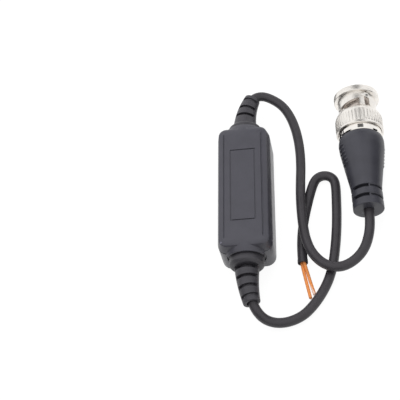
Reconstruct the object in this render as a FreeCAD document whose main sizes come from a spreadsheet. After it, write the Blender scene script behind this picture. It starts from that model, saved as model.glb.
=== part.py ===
"""Passive video balun for a twisted pair camera run, modelled as it comes apart on a bench.

The frame stands on the floor that the housing lies on: +Z up, +Y along the housing towards the coax
end, +X towards the plug. The origin is under the middle of the housing. Sizes are millimetres.
"""

import FreeCAD, Part

import math
import os

import Sketcher

Vector = FreeCAD.Vector
Rotation = FreeCAD.Rotation
Placement = FreeCAD.Placement

doc = FreeCAD.newDocument("VideoBalun")
sheet = doc.addObject("Spreadsheet::Sheet", "Dims")

# Driving sizes: alias, value and what it is
SIZES = [
    ("case_width", 16.0, "housing, across"),
    ("case_length", 42.0, "housing, along"),
    ("case_depth", 14.0, "housing, back to front"),
    ("case_corner", 3.0, "radius of the housing's upright corners"),
    ("case_wall", 1.5, "wall of both shells"),
    ("seam_height", 10.0, "where the two shells meet"),
    ("cover_land", 0.4, "upright edge of the front cover, at the seam"),
    ("draft_inset", 0.65, "how far the cover's steep sides lean in"),
    ("shoulder_drop", 0.8, "from the flat field down to the end of the steep sides"),
    ("field_inset", 2.1, "from the housing's side to the flat field"),
    ("field_corner", 1.1, "corner radius of the flat field"),
    ("end_inset", 1.05, "how far the cover's steep ends lean in"),
    ("end_drop", 0.3, "from the flat field down to the end of the steep ends"),
    ("cover_edge", 0.3, "chamfer at the end of the steep sides, upright"),
    ("hollow_inset", 0.75, "how far the hollow's sides lean in"),
    ("hood_rim", 6.2, "hood over an entry, radius at its rim"),
    ("hood_root", 6.95, "hood over an entry, radius at its root"),
    ("hood_reach", 0.9, "how far a hood stands out of the end wall"),
    ("hood_run", 3.0, "how far a hood runs back over the cover"),
    ("crease_place", 5.65, "fine groove along each side of the field, from the middle"),
    ("crease_width", 0.3, "width of that groove"),
    ("crease_cut", 0.2, "depth of that groove"),
    ("back_edge", 0.9, "rounding round the back"),
    ("lip_width", 0.6, "locating lip on the rear shell"),
    ("lip_height", 0.8, "how far the lip stands above the seam"),
    ("lip_clearance", 0.1, "room round the lip"),
    ("panel_width", 7.6, "engraved frame, across"),
    ("panel_length", 24.6, "engraved frame, along"),
    ("panel_line", 0.4, "width of the engraved line"),
    ("panel_cut", 0.25, "depth of the engraved line"),
    ("axis_height", 7.0, "height of both cable entries"),
    ("entry_radius", 4.1, "hole through each end wall"),
    ("recess_radius", 5.75, "sunk ring round each entry"),
    ("recess_depth", 0.5, "depth of the sunk ring"),
    ("collar_radius", 5.15, "collar of a strain relief"),
    ("collar_length", 3.4, "collar, from the end wall out"),
    ("flange_radius", 4.7, "flange inside the end wall"),
    ("flange_length", 1.2, "thickness of the inner flange"),
    ("flange_room", 0.05, "room round the inner flange"),
    ("collar_edge", 0.8, "chamfer round the collar"),
    ("cone_root", 3.65, "radius of the ribbed cone at the collar"),
    ("cone_tip", 2.5, "radius of the ribbed cone at its tip"),
    ("cone_length", 11.3, "ribbed cone, from the collar out"),
    ("slot_count", 4, "slots along each relief"),
    ("slot_pitch", 3.0, "from one slot of the cone to the next"),
    ("slot_width", 1.3, "width of a slot"),
    ("slot_floor", 1.95, "radius at the bottom of a slot"),
    ("slot_angle", 112.0, "angle that one slot goes round"),
    ("coax_bend_angle", 26.0, "bend of the coax relief, degrees"),
    ("pair_bend_angle", 13.0, "bend of the pair relief, degrees"),
    ("cable_radius", 1.45, "both cables"),
    ("wire_radius", 0.48, "each wire of the pair"),
    ("board_width", 11.6, "circuit board, across"),
    ("board_length", 30.0, "circuit board, along"),
    ("board_thickness", 1.0, "circuit board"),
    ("board_height", 3.6, "underside of the board"),
    ("ledge_length", 3.0, "board ledges in the rear shell, along"),
    ("ledge_width", 1.2, "board ledges, across"),
    ("core_outer", 3.8, "ferrite ring, outer radius"),
    ("core_inner", 2.0, "ferrite ring, inner radius"),
    ("core_height", 3.0, "ferrite ring, height"),
    ("turn_wire", 0.36, "enamelled wire of the windings"),
    ("turn_room", 0.05, "room between a turn and the ring"),
    ("turn_count", 6, "turns of each winding"),
    ("winding_angle", 130.0, "angle that one winding covers"),
    ("diode_length", 4.3, "surge diode, moulded body"),
    ("diode_width", 3.6, "surge diode, across"),
    ("diode_height", 2.2, "surge diode, height"),
    ("chip_length", 2.0, "chip resistor or capacitor, along"),
    ("chip_width", 1.25, "chip resistor or capacitor, across"),
    ("chip_height", 0.55, "chip resistor, height"),
    ("chip_cap", 0.4, "end cap of a chip part"),
    ("chip_middle_x", 3.6, "chip parts, across from the middle"),
    ("chip_middle_y", 6.6, "chip parts, along from the middle"),
    ("diode_place", -8.4, "middle of the surge diode, along"),
    ("pad_spread", 2.4, "solder pads, across from the middle"),
    ("pad_place", 12.6, "solder pads, along from the middle"),
    ("lead_spread", 0.6, "leads at the cable's end, across from the middle"),
    ("lead_run", 1.6, "straight run of a lead out of the cable"),
    ("lead_drop", 0.3, "fall of a lead before its pad"),
    ("dot_radius", 0.85, "solder joint, at the board"),
    ("dot_height", 0.6, "solder joint, height"),
    ("lead_radius", 0.38, "leads between cable and board"),
    ("nose_x", 34.9, "plug, middle of its mouth"),
    ("nose_y", 32.1, "plug, middle of its mouth"),
    ("plug_height", 7.25, "plug axis above the floor"),
    ("plug_angle", 1.5, "plug, turned from the housing's axis, degrees"),
    ("rim_radius", 6.9, "front rim of the coupling nut"),
    ("rim_length", 2.0, "front rim, along"),
    ("neck_radius", 5.75, "slotted neck of the nut"),
    ("neck_end", 6.5, "where the neck widens, from the mouth"),
    ("grip_start", 8.7, "start of the knurled grip"),
    ("grip_end", 13.2, "end of the knurled grip"),
    ("grip_radius", 7.2, "knurled grip"),
    ("nut_length", 14.0, "coupling nut, along"),
    ("jack_bore", 4.9, "bore of the nut for the jack's barrel"),
    ("mouth_flare", 0.45, "chamfer at the mouth"),
    ("knurl_count", 44, "grooves round the grip"),
    ("knurl_cut", 0.35, "depth of a groove"),
    ("knurl_width", 0.62, "width of a groove at the surface"),
    ("cam_width", 2.0, "width of a cam slot"),
    ("cam_start", 4.1, "cam slot at the entry, from the mouth"),
    ("cam_end", 5.3, "cam slot at the detent, from the mouth"),
    ("cam_span_angle", 72.0, "angle that a cam slot goes round"),
    ("cam_angle", 18.0, "entry end of the first cam slot, from the top"),
    ("window_angle", 27.0, "from the cam slot's entry to the stud window"),
    ("window_start", 2.6, "stud window, from the mouth"),
    ("window_end", 6.4, "stud window, far end"),
    ("window_width", 1.9, "stud window, across"),
    ("stud_track", 5.5, "radius of the studs' entry track"),
    ("track_angle", 38.0, "angle of the entry track"),
    ("track_lead_angle", 4.0, "how far the track runs past the slot's entry, degrees"),
    ("track_end", 5.0, "entry track, far end"),
    ("bridge_radius", 6.35, "raised bridge over the entry track"),
    ("bridge_start", 1.0, "raised bridge, near end"),
    ("bridge_end", 3.3, "raised bridge, far end"),
    ("lip_bore", 4.35, "inner lip of the nut that the shank turns in"),
    ("lip_start", 11.35, "inner lip, from the mouth"),
    ("lip_end", 12.85, "inner lip, far end"),
    ("chamber_radius", 5.9, "chamber for the spring washer"),
    ("chamber_start", 8.9, "chamber, from the mouth"),
    ("skirt_bore", 6.62, "rear skirt of the nut"),
    ("shank_radius", 4.27, "turned shank that the nut runs on"),
    ("shank_start", 7.6, "front of the shank"),
    ("shoulder_radius", 6.5, "shoulder behind the nut"),
    ("shoulder_start", 12.95, "front of the shoulder"),
    ("shoulder_end", 16.2, "rear of the shoulder"),
    ("tail_radius", 4.0, "tail inside the boot"),
    ("tail_end", 23.0, "end of the tail"),
    ("nipple_radius", 1.95, "crimp nipple"),
    ("nipple_bore", 1.0, "bore of the nipple"),
    ("nipple_end", 30.0, "end of the nipple"),
    ("body_bore", 3.6, "bore of the plug body for the insulator"),
    ("ring_groove", 3.85, "bottom of the retaining groove"),
    ("ring_start", 9.5, "retaining ring, from the mouth"),
    ("ring_length", 0.7, "retaining ring, thickness"),
    ("ring_radius", 5.3, "retaining ring, outer radius"),
    ("ring_open_angle", 50.0, "opening of the retaining ring, degrees"),
    ("washer_sheet", 0.25, "spring washer, sheet"),
    ("washer_rise", 0.75, "spring washer, free height above the sheet"),
    ("washer_radius", 5.6, "spring washer, outer radius"),
    ("washer_bore", 4.45, "spring washer, inner radius"),
    ("contact_radius", 4.05, "slotted outer contact"),
    ("contact_seat", 4.4, "outer contact under the gasket, radius"),
    ("contact_wall", 0.5, "wall of the outer contact"),
    ("contact_start", 0.9, "tip of the outer contact"),
    ("contact_end", 10.6, "seat of the outer contact"),
    ("contact_slots", 4, "slots of the outer contact"),
    ("contact_slot_width", 0.5, "width of one slot"),
    ("contact_slot_end", 6.2, "end of the slots"),
    ("contact_slot_angle", 20.0, "first slot, from the side, degrees"),
    ("insulator_nose", 2.4, "front of the insulator, radius"),
    ("insulator_start", 4.4, "front of the insulator"),
    ("insulator_step", 8.4, "where the insulator widens"),
    ("insulator_end", 12.4, "rear of the insulator"),
    ("pin_radius", 0.675, "centre pin"),
    ("pin_start", 1.7, "tip of the centre pin"),
    ("pin_barrel", 0.95, "solder barrel of the centre pin"),
    ("pin_end", 17.0, "end of the solder barrel"),
    ("gasket_outer", 4.8, "mouth gasket, outer radius"),
    ("gasket_length", 0.8, "mouth gasket, thickness"),
    ("ferrule_radius", 2.7, "crimp ferrule, outer radius"),
    ("ferrule_start", 23.6, "front of the ferrule"),
    ("ferrule_end", 33.4, "rear of the ferrule"),
    ("boot_start", 16.2, "front of the boot"),
    ("boot_mouth", 6.5, "boot, radius at its front"),
    ("bulge_place", 17.6, "fullest place of the boot"),
    ("bulge_radius", 6.85, "boot, fullest radius"),
    ("taper_start", 20.4, "start of the boot's taper"),
    ("taper_radius", 6.72, "radius there"),
    ("taper_end", 33.6, "end of the boot's taper"),
    ("tip_radius", 4.55, "boot, radius at its tip"),
    ("shoulder_round", 9.0, "boot, rounding where the taper starts"),
    ("waist_round", 8.0, "boot, rounding where the taper ends"),
    ("tip_round", 0.4, "boot, rounding round its end face"),
    ("boot_end", 40.6, "end face of the boot"),
    ("boot_slot_one", 34.7, "first relief slot of the boot"),
    ("boot_slot_two", 37.8, "second relief slot of the boot"),
    ("boot_slot_width", 1.4, "width of a relief slot"),
    ("boot_slot_floor", 3.3, "radius at the bottom of a relief slot"),
    ("boot_slot_angle", 70.0, "angle that one relief slot goes round"),
    ("boot_slot_first_angle", 22.0, "middle of the first relief slot, from the side"),
    ("ridge_sink", 0.12, "how deep a ridge's middle lies under the surface"),
    ("ridge_count", 6, "grip ridges on each flank"),
    ("ridge_first", 19.4, "first grip ridge"),
    ("ridge_pitch", 1.25, "from one ridge to the next"),
    ("ridge_radius", 0.42, "half thickness of a ridge"),
    ("ridge_angle", 34.0, "angle that a ridge goes round"),
    ("ridge_middle_angle", 156.0, "middle of the upper ridges, round from the right flank"),
]

for row, (alias, value, note) in enumerate(SIZES, start=1):
    sheet.set(f"A{row}", note)
    sheet.set(f"B{row}", str(value))
    sheet.setAlias(f"B{row}", alias)
doc.recompute()


def size(formula):
    """The number that a formula on the sheet's sizes gives."""
    return float(sheet.evalExpression(str(formula)))


def of_sheet(alias):
    return float(sheet.get(alias))


# Frames that a group of pieces shares, so that each is drawn along its own axis
COAX_END = Rotation(Vector(1, 0, 0), -90)
PAIR_END = Rotation(Vector(1, 0, 0), 90)


def plug_frame():
    """Local +Z runs back along the plug from its mouth, local +Y is up."""
    turn = Rotation(Vector(0, 0, 1), of_sheet("plug_angle")) * Rotation(Vector(1, 0, 0), 90)
    nose = Vector(of_sheet("nose_x"), of_sheet("nose_y"), of_sheet("plug_height"))
    return Placement(nose, turn)


def entry_frame(way):
    """Local +Z runs out of the housing from the end wall; way is 1 at the coax end, -1 at the pair end."""
    wall_place = Vector(0, way * size("Dims.case_length / 2"), of_sheet("axis_height"))
    return Placement(wall_place, COAX_END if way > 0 else PAIR_END)


PLUG = plug_frame()


# Drawing helpers
def plane_of(body, role):
    """One of the body's own planes or axes."""
    return next(item for item in body.Origin.OriginFeatures if item.Role == role)


def new_body(name):
    body = doc.addObject("PartDesign::Body", name)
    body.Label = name
    return body


def sketch_on(body, name, plane="XY_Plane", lift=None):
    """An empty sketch on one of the body's own planes, lifted along its normal by a formula."""
    sketch = body.newObject("Sketcher::SketchObject", name)
    sketch.AttachmentSupport = [(plane_of(body, plane), "")]
    sketch.MapMode = "FlatFace"
    if lift is not None:
        sketch.setExpression("AttachmentOffset.Base.z", lift)
    return sketch


def draw_outline(sketch, corners):
    """A closed outline of straight edges; each corner is bound to two formulas."""
    first = sketch.GeometryCount
    spots = [Vector(size(across), size(along), 0) for across, along in corners]
    total = len(spots)
    for index, spot in enumerate(spots):
        sketch.addGeometry(Part.LineSegment(spot, spots[(index + 1) % total]))
    for index in range(total):
        following = first + (index + 1) % total
        sketch.addConstraint(Sketcher.Constraint("Coincident", first + index, 2, following, 1))
    for index, (across, along) in enumerate(corners):
        for kind, formula in (("DistanceX", across), ("DistanceY", along)):
            start = size(formula)
            number = sketch.addConstraint(Sketcher.Constraint(kind, -1, 1, first + index, 1, start))
            sketch.setExpression(f"Constraints[{number}]", formula)


def draw_rounded(sketch, half_width, half_length, radius):
    """A rectangle about the origin with round corners, held by its two half sizes and its radius."""
    wide, long, round_by = size(half_width), size(half_length), size(radius)
    first = sketch.GeometryCount
    centres = [(1, -1), (1, 1), (-1, 1), (-1, -1)]
    arcs = []
    for number, (side, end) in enumerate(centres):
        middle = Vector(side * (wide - round_by), end * (long - round_by), 0)
        start = math.radians(90 * number - 90)
        circle = Part.Circle(middle, Vector(0, 0, 1), round_by)
        arcs.append(Part.ArcOfCircle(circle, start, start + math.pi / 2))
    for number, arc in enumerate(arcs):
        sketch.addGeometry(arc)
        sketch.addGeometry(Part.LineSegment(arc.EndPoint, arcs[(number + 1) % 4].StartPoint))
    for number in range(4):
        arc, line, following = first + 2 * number, first + 2 * number + 1, first + (2 * number + 2) % 8
        sketch.addConstraint(Sketcher.Constraint("Tangent", arc, 2, line, 1))
        sketch.addConstraint(Sketcher.Constraint("Tangent", line, 2, following, 1))
        sketch.addConstraint(Sketcher.Constraint("Horizontal" if number % 2 else "Vertical", line))
        if number:
            sketch.addConstraint(Sketcher.Constraint("Equal", first, arc))
    bounds = [
        (Sketcher.Constraint("Radius", first, round_by), radius),
        (Sketcher.Constraint("DistanceX", -1, 1, first + 1, 1, wide), half_width),
        (Sketcher.Constraint("DistanceX", first + 5, 1, -1, 1, wide), half_width),
        (Sketcher.Constraint("DistanceY", -1, 1, first + 3, 1, long), half_length),
        (Sketcher.Constraint("DistanceY", first + 7, 1, -1, 1, long), half_length),
    ]
    for constraint, formula in bounds:
        number = sketch.addConstraint(constraint)
        sketch.setExpression(f"Constraints[{number}]", formula)


def draw_circle(sketch, radius, across="0", along="0"):
    centre = Vector(size(across), size(along), 0)
    edge = sketch.addGeometry(Part.Circle(centre, Vector(0, 0, 1), size(radius)))
    number = sketch.addConstraint(Sketcher.Constraint("Radius", edge, size(radius)))
    sketch.setExpression(f"Constraints[{number}]", radius)
    for kind, formula in (("DistanceX", across), ("DistanceY", along)):
        number = sketch.addConstraint(Sketcher.Constraint(kind, -1, 1, edge, 3, size(formula)))
        sketch.setExpression(f"Constraints[{number}]", formula)


def add_turned(body, name, corners):
    """Turns an outline of (radius, place) corners about the body's own Z axis."""
    sketch = sketch_on(body, f"{name}_outline", "XZ_Plane")
    draw_outline(sketch, corners)
    feature = body.newObject("PartDesign::Revolution", name)
    feature.Profile = sketch
    feature.ReferenceAxis = (sketch, ["V_Axis"])
    feature.Angle = 360
    doc.recompute()
    return feature


def add_pad(body, name, corners, length, lift=None):
    sketch = sketch_on(body, f"{name}_outline", "XY_Plane", lift)
    draw_outline(sketch, corners)
    return pad_of(body, name, sketch, length)


def pad_of(body, name, sketch, length):
    pad = body.newObject("PartDesign::Pad", name)
    pad.Profile = sketch
    pad.setExpression("Length", length)
    doc.recompute()
    return pad


def pocket_of(body, name, sketch, length, upward=True):
    pocket = body.newObject("PartDesign::Pocket", name)
    pocket.Profile = sketch
    pocket.Reversed = upward
    pocket.setExpression("Length", length)
    doc.recompute()
    return pocket


def rounded_sketch(body, name, inset, lift=None, end_inset=None, corner=None):
    """The housing's outline moved in by formulas, on a plane at a height."""
    sketch = sketch_on(body, name, "XY_Plane", lift)
    draw_rounded(
        sketch,
        f"Dims.case_width / 2 - ({inset})",
        f"Dims.case_length / 2 - ({end_inset or inset})",
        corner or f"Dims.case_corner - ({inset})",
    )
    return sketch


def ruled_between(body, kind, name, sketches):
    loft = body.newObject(f"PartDesign::{kind}", name)
    loft.Profile = sketches[0]
    loft.Sections = sketches[1:]
    loft.Ruled = True
    doc.recompute()
    return loft


def add_polar(body, name, feature, count, angle="360"):
    pattern = body.newObject("PartDesign::PolarPattern", name)
    pattern.Originals = [feature]
    pattern.Axis = (plane_of(body, "Z_Axis"), [""])
    pattern.setExpression("Angle", angle)
    pattern.setExpression("Occurrences", count)
    body.Tip = pattern
    doc.recompute()
    return pattern


def edges_where(feature, test):
    return [f"Edge{index}" for index, edge in enumerate(feature.Shape.Edges, start=1) if test(edge)]


def add_fillet(body, name, feature, test, radius):
    fillet = body.newObject("PartDesign::Fillet", name)
    fillet.Base = (feature, edges_where(feature, test))
    fillet.setExpression("Radius", radius)
    doc.recompute()
    return fillet


def rectangle(half_width, half_length, middle_x="0", middle_y="0"):
    """Corner formulas of a rectangle about a middle."""
    left, right = f"{middle_x} - ({half_width})", f"{middle_x} + {half_width}"
    low, high = f"{middle_y} - ({half_length})", f"{middle_y} + {half_length}"
    return [(left, low), (right, low), (right, high), (left, high)]


def primitive(kind, name, where=None, **formulas):
    """A Part primitive whose sizes are bound to formulas."""
    solid = doc.addObject(f"Part::{kind}", name)
    if where is not None:
        solid.Placement = where
    for field, formula in formulas.items():
        solid.setExpression(field, str(formula))
    return solid


def joined(name, solids):
    fuse = doc.addObject("Part::MultiFuse", name)
    fuse.Shapes = solids
    doc.recompute()
    return fuse


def cut_from(name, base, tool):
    cut = doc.addObject("Part::Cut", name)
    cut.Base = base
    cut.Tool = tool
    doc.recompute()
    return cut


def ring_sector(name, inner, outer, length, sweep, where):
    """A piece of a ring, from local +X round by the sweep; the formulas bind its sizes."""
    disc = primitive("Cylinder", f"{name}_disc", Radius=outer, Height=length, Angle=sweep)
    core = primitive("Cylinder", f"{name}_core", Radius=inner, Height=length)
    sector = cut_from(name, disc, core)
    sector.Placement = where
    return sector


kept = []


def keep(item, name, where=None):
    """Marks a sub-part as finished: its name, its place and its file."""
    item.Label = name
    if where is not None:
        item.Placement = where
    kept.append((name, item))
    return item


# Cords: straight runs joined by tangent arcs
BEND_SHARE = 0.45


def rounded_path(points):
    """The route as one wire, with each arc as large as its two runs allow, and the arcs' radii."""
    spots = [Vector(*point) for point in points]
    edges, radii = [], []
    start = spots[0]
    for before, corner, after in zip(spots, spots[1:], spots[2:]):
        way_in = (corner - before).normalize()
        way_out = (after - corner).normalize()
        turn = way_in.getAngle(way_out)
        reach = BEND_SHARE * min((corner - before).Length, (after - corner).Length)
        radius = reach / math.tan(turn / 2)
        arc_start = corner - way_in * reach
        arc_end = corner + way_out * reach
        middle = corner + (way_out - way_in).normalize() * (
            math.hypot(radius, reach) - radius
        )
        edges.append(Part.LineSegment(start, arc_start).toShape())
        edges.append(Part.Arc(arc_start, middle, arc_end).toShape())
        radii.append(radius)
        start = arc_end
    edges.append(Part.LineSegment(start, spots[-1]).toShape())
    return Part.Wire(edges), radii


def tube_along(points, radius):
    """A plain round tube along the route, checked against its section times its length."""
    path, radii = rounded_path(points)
    heading = Vector(*points[1]) - Vector(*points[0])
    section = Part.Wire([Part.Circle(Vector(*points[0]), heading, radius).toShape()])
    tube = path.makePipeShell([section], True, False)
    expected = math.pi * radius**2 * path.Length
    if abs(tube.Volume - expected) > 0.01 * expected:
        raise ValueError(f"tube volume {tube.Volume:.2f}, expected {expected:.2f}")
    return tube, path.Length, radii


def add_cord(name, points, radius_alias):
    cord = doc.addObject("Part::Feature", name)
    cord.Shape, length, radii = tube_along(points, of_sheet(radius_alias))
    tightest = min(radii) / (2 * of_sheet(radius_alias))
    spans = ", ".join(f"{radius:.1f}" for radius in radii)
    print(f"{name}: length {length:.1f} mm, tightest arc {tightest:.2f} diameters, radii {spans}")
    return keep(cord, name)


def from_entry(way, spots):
    """The start of a cable at its relief's inner flange, then points (across, out, up) from an entry."""
    wall_place, height = way * size("Dims.case_length / 2"), of_sheet("axis_height")
    start = size("Dims.case_length / 2 - Dims.case_wall - Dims.flange_length")
    route = [(0.0, way * start, height)]
    for across, out, rise in spots:
        route.append((across, wall_place + way * out, height + rise))
    return route


# Both routes are chosen by hand along the photographed cables
COAX_ROUTE = from_entry(
    1,
    [
        (0.0, 5.0, 0.0),
        (1.4, 12.6, 0.0),
        (3.1, 15.1, -0.1),
        (5.8, 15.6, -0.3),
        (8.7, 14.2, -0.6),
        (11.7, 11.9, -1.2),
    ],
) + [
    (14.0, 29.4, 4.8),
    (15.6, 24.6, 3.4),
    (16.4, 19.0, 2.2),
    (16.5, 12.6, 1.7),
    (16.2, 6.2, 2.6),
    (16.1, 0.2, 4.2),
    (16.2, -5.6, 4.6),
    (16.5, -10.8, 4.6),
    (17.2, -15.8, 4.6),
    (19.0, -20.4, 4.6),
    (22.3, -24.0, 4.6),
    (26.6, -25.2, 4.7),
    (30.6, -23.6, 5.0),
    (33.8, -20.4, 5.6),
    (35.5, -16.0, 6.4),
    (36.1, -11.4, 7.05),
    (35.91, -6.6, 7.2),
    (35.8, -2.4, 7.25),
    (35.7, 1.4, 7.25),
]

PAIR_ROUTE = from_entry(
    -1,
    [
        (0.0, 5.0, 0.0),
        (0.95, 12.6, 0.0),
        (2.0, 16.1, -1.1),
        (4.2, 18.3, -3.4),
    ],
) + [
    (7.5, -40.0, 1.9),
    (11.4, -39.6, 1.5),
    (15.3, -37.9, 1.5),
    (18.3, -34.9, 1.5),
    (20.8, -31.4, 1.5),
    (22.9, -27.4, 1.5),
    (24.4, -22.8, 1.5),
    (25.3, -17.6, 1.5),
    (26.0, -12.0, 1.5),
    (26.4, -6.6, 1.5),
    (26.6, -1.4, 1.5),
    (26.7, 2.9, 1.5),
    (26.5, 5.94, 1.5),
    (25.27, 7.62, 1.5),
    (23.3, 8.26, 1.5),
    (21.33, 7.62, 1.5),
    (20.1, 5.94, 1.5),
    (19.0, 2.7, 1.5),
    (17.9, -1.4, 1.5),
    (16.7, -6.4, 1.5),
    (15.9, -11.4, 1.5),
    (15.6, -16.2, 1.5),
    (15.7, -21.0, 1.5),
]

ORANGE_ROUTE = [
    (15.17, -21.02, 1.5),
    (15.22, -23.4, 1.5),
    (15.8, -26.7, 0.6),
    (16.7, -29.7, 0.5),
    (17.6, -32.4, 0.5),
]

STRIPED_ROUTE = [
    (16.23, -21.02, 1.5),
    (16.28, -23.0, 1.5),
    (16.9, -26.0, 0.6),
    (17.9, -28.7, 0.5),
    (18.8, -30.8, 0.5),
]


# Housing
def lies_at(edge, height):
    return abs(edge.BoundBox.ZMin - height) < 1e-4 and abs(edge.BoundBox.ZMax - height) < 1e-4


def make_rear_shell():
    """A deep tray with a locating lip, and four ledges that carry the board."""
    body = new_body("rear_shell_solid")
    outline = rounded_sketch(body, "rear_block_outline", "0")
    block = pad_of(body, "rear_block", outline, "Dims.seam_height")
    add_fillet(body, "rear_back_edge", block, lambda e: lies_at(e, 0.0), "Dims.back_edge")
    lip = rounded_sketch(body, "rear_lip_outline", "Dims.case_wall - Dims.lip_width", "Dims.seam_height")
    pad_of(body, "rear_lip", lip, "Dims.lip_height")
    hollow = rounded_sketch(body, "rear_cavity_outline", "Dims.case_wall", "Dims.case_wall")
    pocket_of(body, "rear_cavity", hollow, "Dims.seam_height + Dims.lip_height - Dims.case_wall")
    for side, side_name in ((-1, "left"), (1, "right")):
        for end, end_name in ((-1, "pair"), (1, "coax")):
            middle_x = f"{side} * (Dims.case_width / 2 - Dims.case_wall - Dims.ledge_width / 2 + 0.05)"
            middle_y = f"{end} * (Dims.board_length / 2 - Dims.ledge_length / 2)"
            add_pad(
                body,
                f"ledge_{side_name}_{end_name}",
                rectangle("Dims.ledge_width / 2 + 0.05", "Dims.ledge_length / 2", middle_x, middle_y),
                "Dims.board_height - Dims.case_wall",
                "Dims.case_wall",
            )
    return body


def make_cover_form():
    """The lid's outside: steep sides, a shallow strip round a flat field, and what is cut into that field."""
    body = new_body("cover_form_solid")
    steep_height = "(Dims.case_depth - Dims.seam_height - Dims.cover_land - Dims.shoulder_drop)"
    low_inset = f"Dims.draft_inset * (1 - Dims.cover_edge / 2 / {steep_height})"
    strip_slope = "(Dims.field_inset - Dims.draft_inset) / Dims.shoulder_drop"
    end_slope = "(Dims.end_inset - Dims.draft_inset) / (Dims.shoulder_drop - Dims.end_drop)"
    high_side = f"Dims.draft_inset + {strip_slope} * Dims.cover_edge / 2"
    high_end = f"Dims.draft_inset + {end_slope} * Dims.cover_edge / 2"
    strip_side = f"Dims.draft_inset + {strip_slope} * (Dims.shoulder_drop - Dims.end_drop)"
    stations = [
        ("Dims.seam_height", "0", "0", "Dims.case_corner"),
        ("Dims.seam_height + Dims.cover_land", "0", "0", "Dims.case_corner"),
        (
            "Dims.case_depth - Dims.shoulder_drop - Dims.cover_edge / 2",
            low_inset,
            low_inset,
            f"Dims.case_corner - {low_inset}",
        ),
        (
            "Dims.case_depth - Dims.shoulder_drop + Dims.cover_edge / 2",
            high_side,
            high_end,
            f"Dims.case_corner - ({high_side})",
        ),
        (
            "Dims.case_depth - Dims.end_drop",
            strip_side,
            "Dims.end_inset",
            "(Dims.case_corner - Dims.draft_inset + Dims.field_corner) / 2",
        ),
        ("Dims.case_depth", "Dims.field_inset", "Dims.field_inset", "Dims.field_corner"),
    ]
    sketches = [
        rounded_sketch(body, f"cover_station_{number}", side, height, end, corner)
        for number, (height, side, end, corner) in enumerate(stations)
    ]
    ruled_between(body, "AdditiveLoft", "cover_form", sketches)
    frame = sketch_on(body, "panel_frame_outline", "XY_Plane", "Dims.case_depth")
    draw_outline(frame, rectangle("Dims.panel_width / 2", "Dims.panel_length / 2"))
    field = rectangle("Dims.panel_width / 2 - Dims.panel_line", "Dims.panel_length / 2 - Dims.panel_line")
    draw_outline(frame, field)
    pocket_of(body, "panel_frame", frame, "Dims.panel_cut", upward=False)
    for side, side_name in ((-1, "left"), (1, "right")):
        crease = sketch_on(body, f"crease_{side_name}_outline", "XY_Plane", "Dims.case_depth")
        half_length = "Dims.case_length / 2 - Dims.field_inset - Dims.field_corner"
        draw_outline(crease, rectangle("Dims.crease_width / 2", half_length, f"{side} * Dims.crease_place"))
        pocket_of(body, f"crease_{side_name}", crease, "Dims.crease_cut", upward=False)
    return body


def make_cover_room():
    """What the lid is hollowed with: its room, and the rebate for the rear shell's lip."""
    body = new_body("cover_room_solid")
    foot = rounded_sketch(body, "room_foot", "Dims.case_wall", "Dims.seam_height")
    roof_height = "Dims.case_depth - Dims.case_wall"
    roof = rounded_sketch(body, "room_roof", "Dims.case_wall + Dims.hollow_inset", roof_height)
    ruled_between(body, "AdditiveLoft", "room_form", [foot, roof])
    rebate_inset = "Dims.case_wall - Dims.lip_width - Dims.lip_clearance"
    rebate = rounded_sketch(body, "room_rebate_outline", rebate_inset, "Dims.seam_height")
    pad_of(body, "room_rebate", rebate, "Dims.lip_height + Dims.lip_clearance")
    return body


def make_hoods():
    """The upper half of a blunt cone round each entry, from over the cover to past the end wall."""
    cones = []
    for way, end in ((1, "coax"), (-1, "pair")):
        place = entry_frame(way).multiply(Placement(Vector(0, 0, -of_sheet("hood_run")), Rotation()))
        cones.append(
            primitive(
                "Cone",
                f"{end}_hood_cone",
                place,
                Radius1="Dims.hood_root",
                Radius2="Dims.hood_rim",
                Height="Dims.hood_run + Dims.hood_reach",
            )
        )
    corner = Vector(-of_sheet("case_width") / 2, -of_sheet("case_length"), of_sheet("seam_height"))
    slab = primitive(
        "Box",
        "hood_slab",
        Placement(corner, Rotation()),
        Length="Dims.case_width",
        Width="2 * Dims.case_length",
        Height="Dims.case_depth",
    )
    hoods = doc.addObject("Part::Common", "cover_hoods")
    hoods.Base = joined("hood_cones", cones)
    hoods.Tool = slab
    doc.recompute()
    return hoods


def make_front_cover():
    """A hooded lid, hollowed for what it closes over."""
    hooded = joined("cover_hooded", [make_cover_form(), make_hoods()])
    return cut_from("cover_hollowed", hooded, make_cover_room())


def entry_cutters():
    """Through hole, sunk ring and flange seat at both ends, shared by the two shells."""
    cutters = []
    for way, end in ((1, "coax"), (-1, "pair")):
        frame = entry_frame(way)
        for kind, start, radius, length in (
            ("hole", "-Dims.case_wall - 1", "Dims.entry_radius", "Dims.case_wall + 2"),
            ("ring", "-Dims.recess_depth", "Dims.recess_radius", "Dims.recess_depth + Dims.hood_reach + 1"),
            (
                "seat",
                "-Dims.case_wall - Dims.flange_length - Dims.flange_room",
                "Dims.flange_radius + Dims.flange_room",
                "Dims.flange_length + Dims.flange_room",
            ),
        ):
            place = frame.multiply(Placement(Vector(0, 0, size(start)), Rotation()))
            name = f"{end}_entry_{kind}"
            cutters.append(primitive("Cylinder", name, place, Radius=radius, Height=length))
    return joined("entry_cutters", cutters)


entries = entry_cutters()
keep(cut_from("rear_shell", make_rear_shell(), entries), "rear_shell")
keep(cut_from("front_cover", make_front_cover(), entries), "front_cover")


# Cables and the wires at the pair's bare end
coax_cable = add_cord("coax_cable", COAX_ROUTE, "cable_radius")
pair_cable = add_cord("pair_cable", PAIR_ROUTE, "cable_radius")
add_cord("wire_orange", ORANGE_ROUTE, "wire_radius")
add_cord("wire_orange_white", STRIPED_ROUTE, "wire_radius")


# Strain reliefs: a collar outside the wall, a flange inside it and a ribbed cone that bends with its cable
CONE_STATIONS = 5


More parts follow.
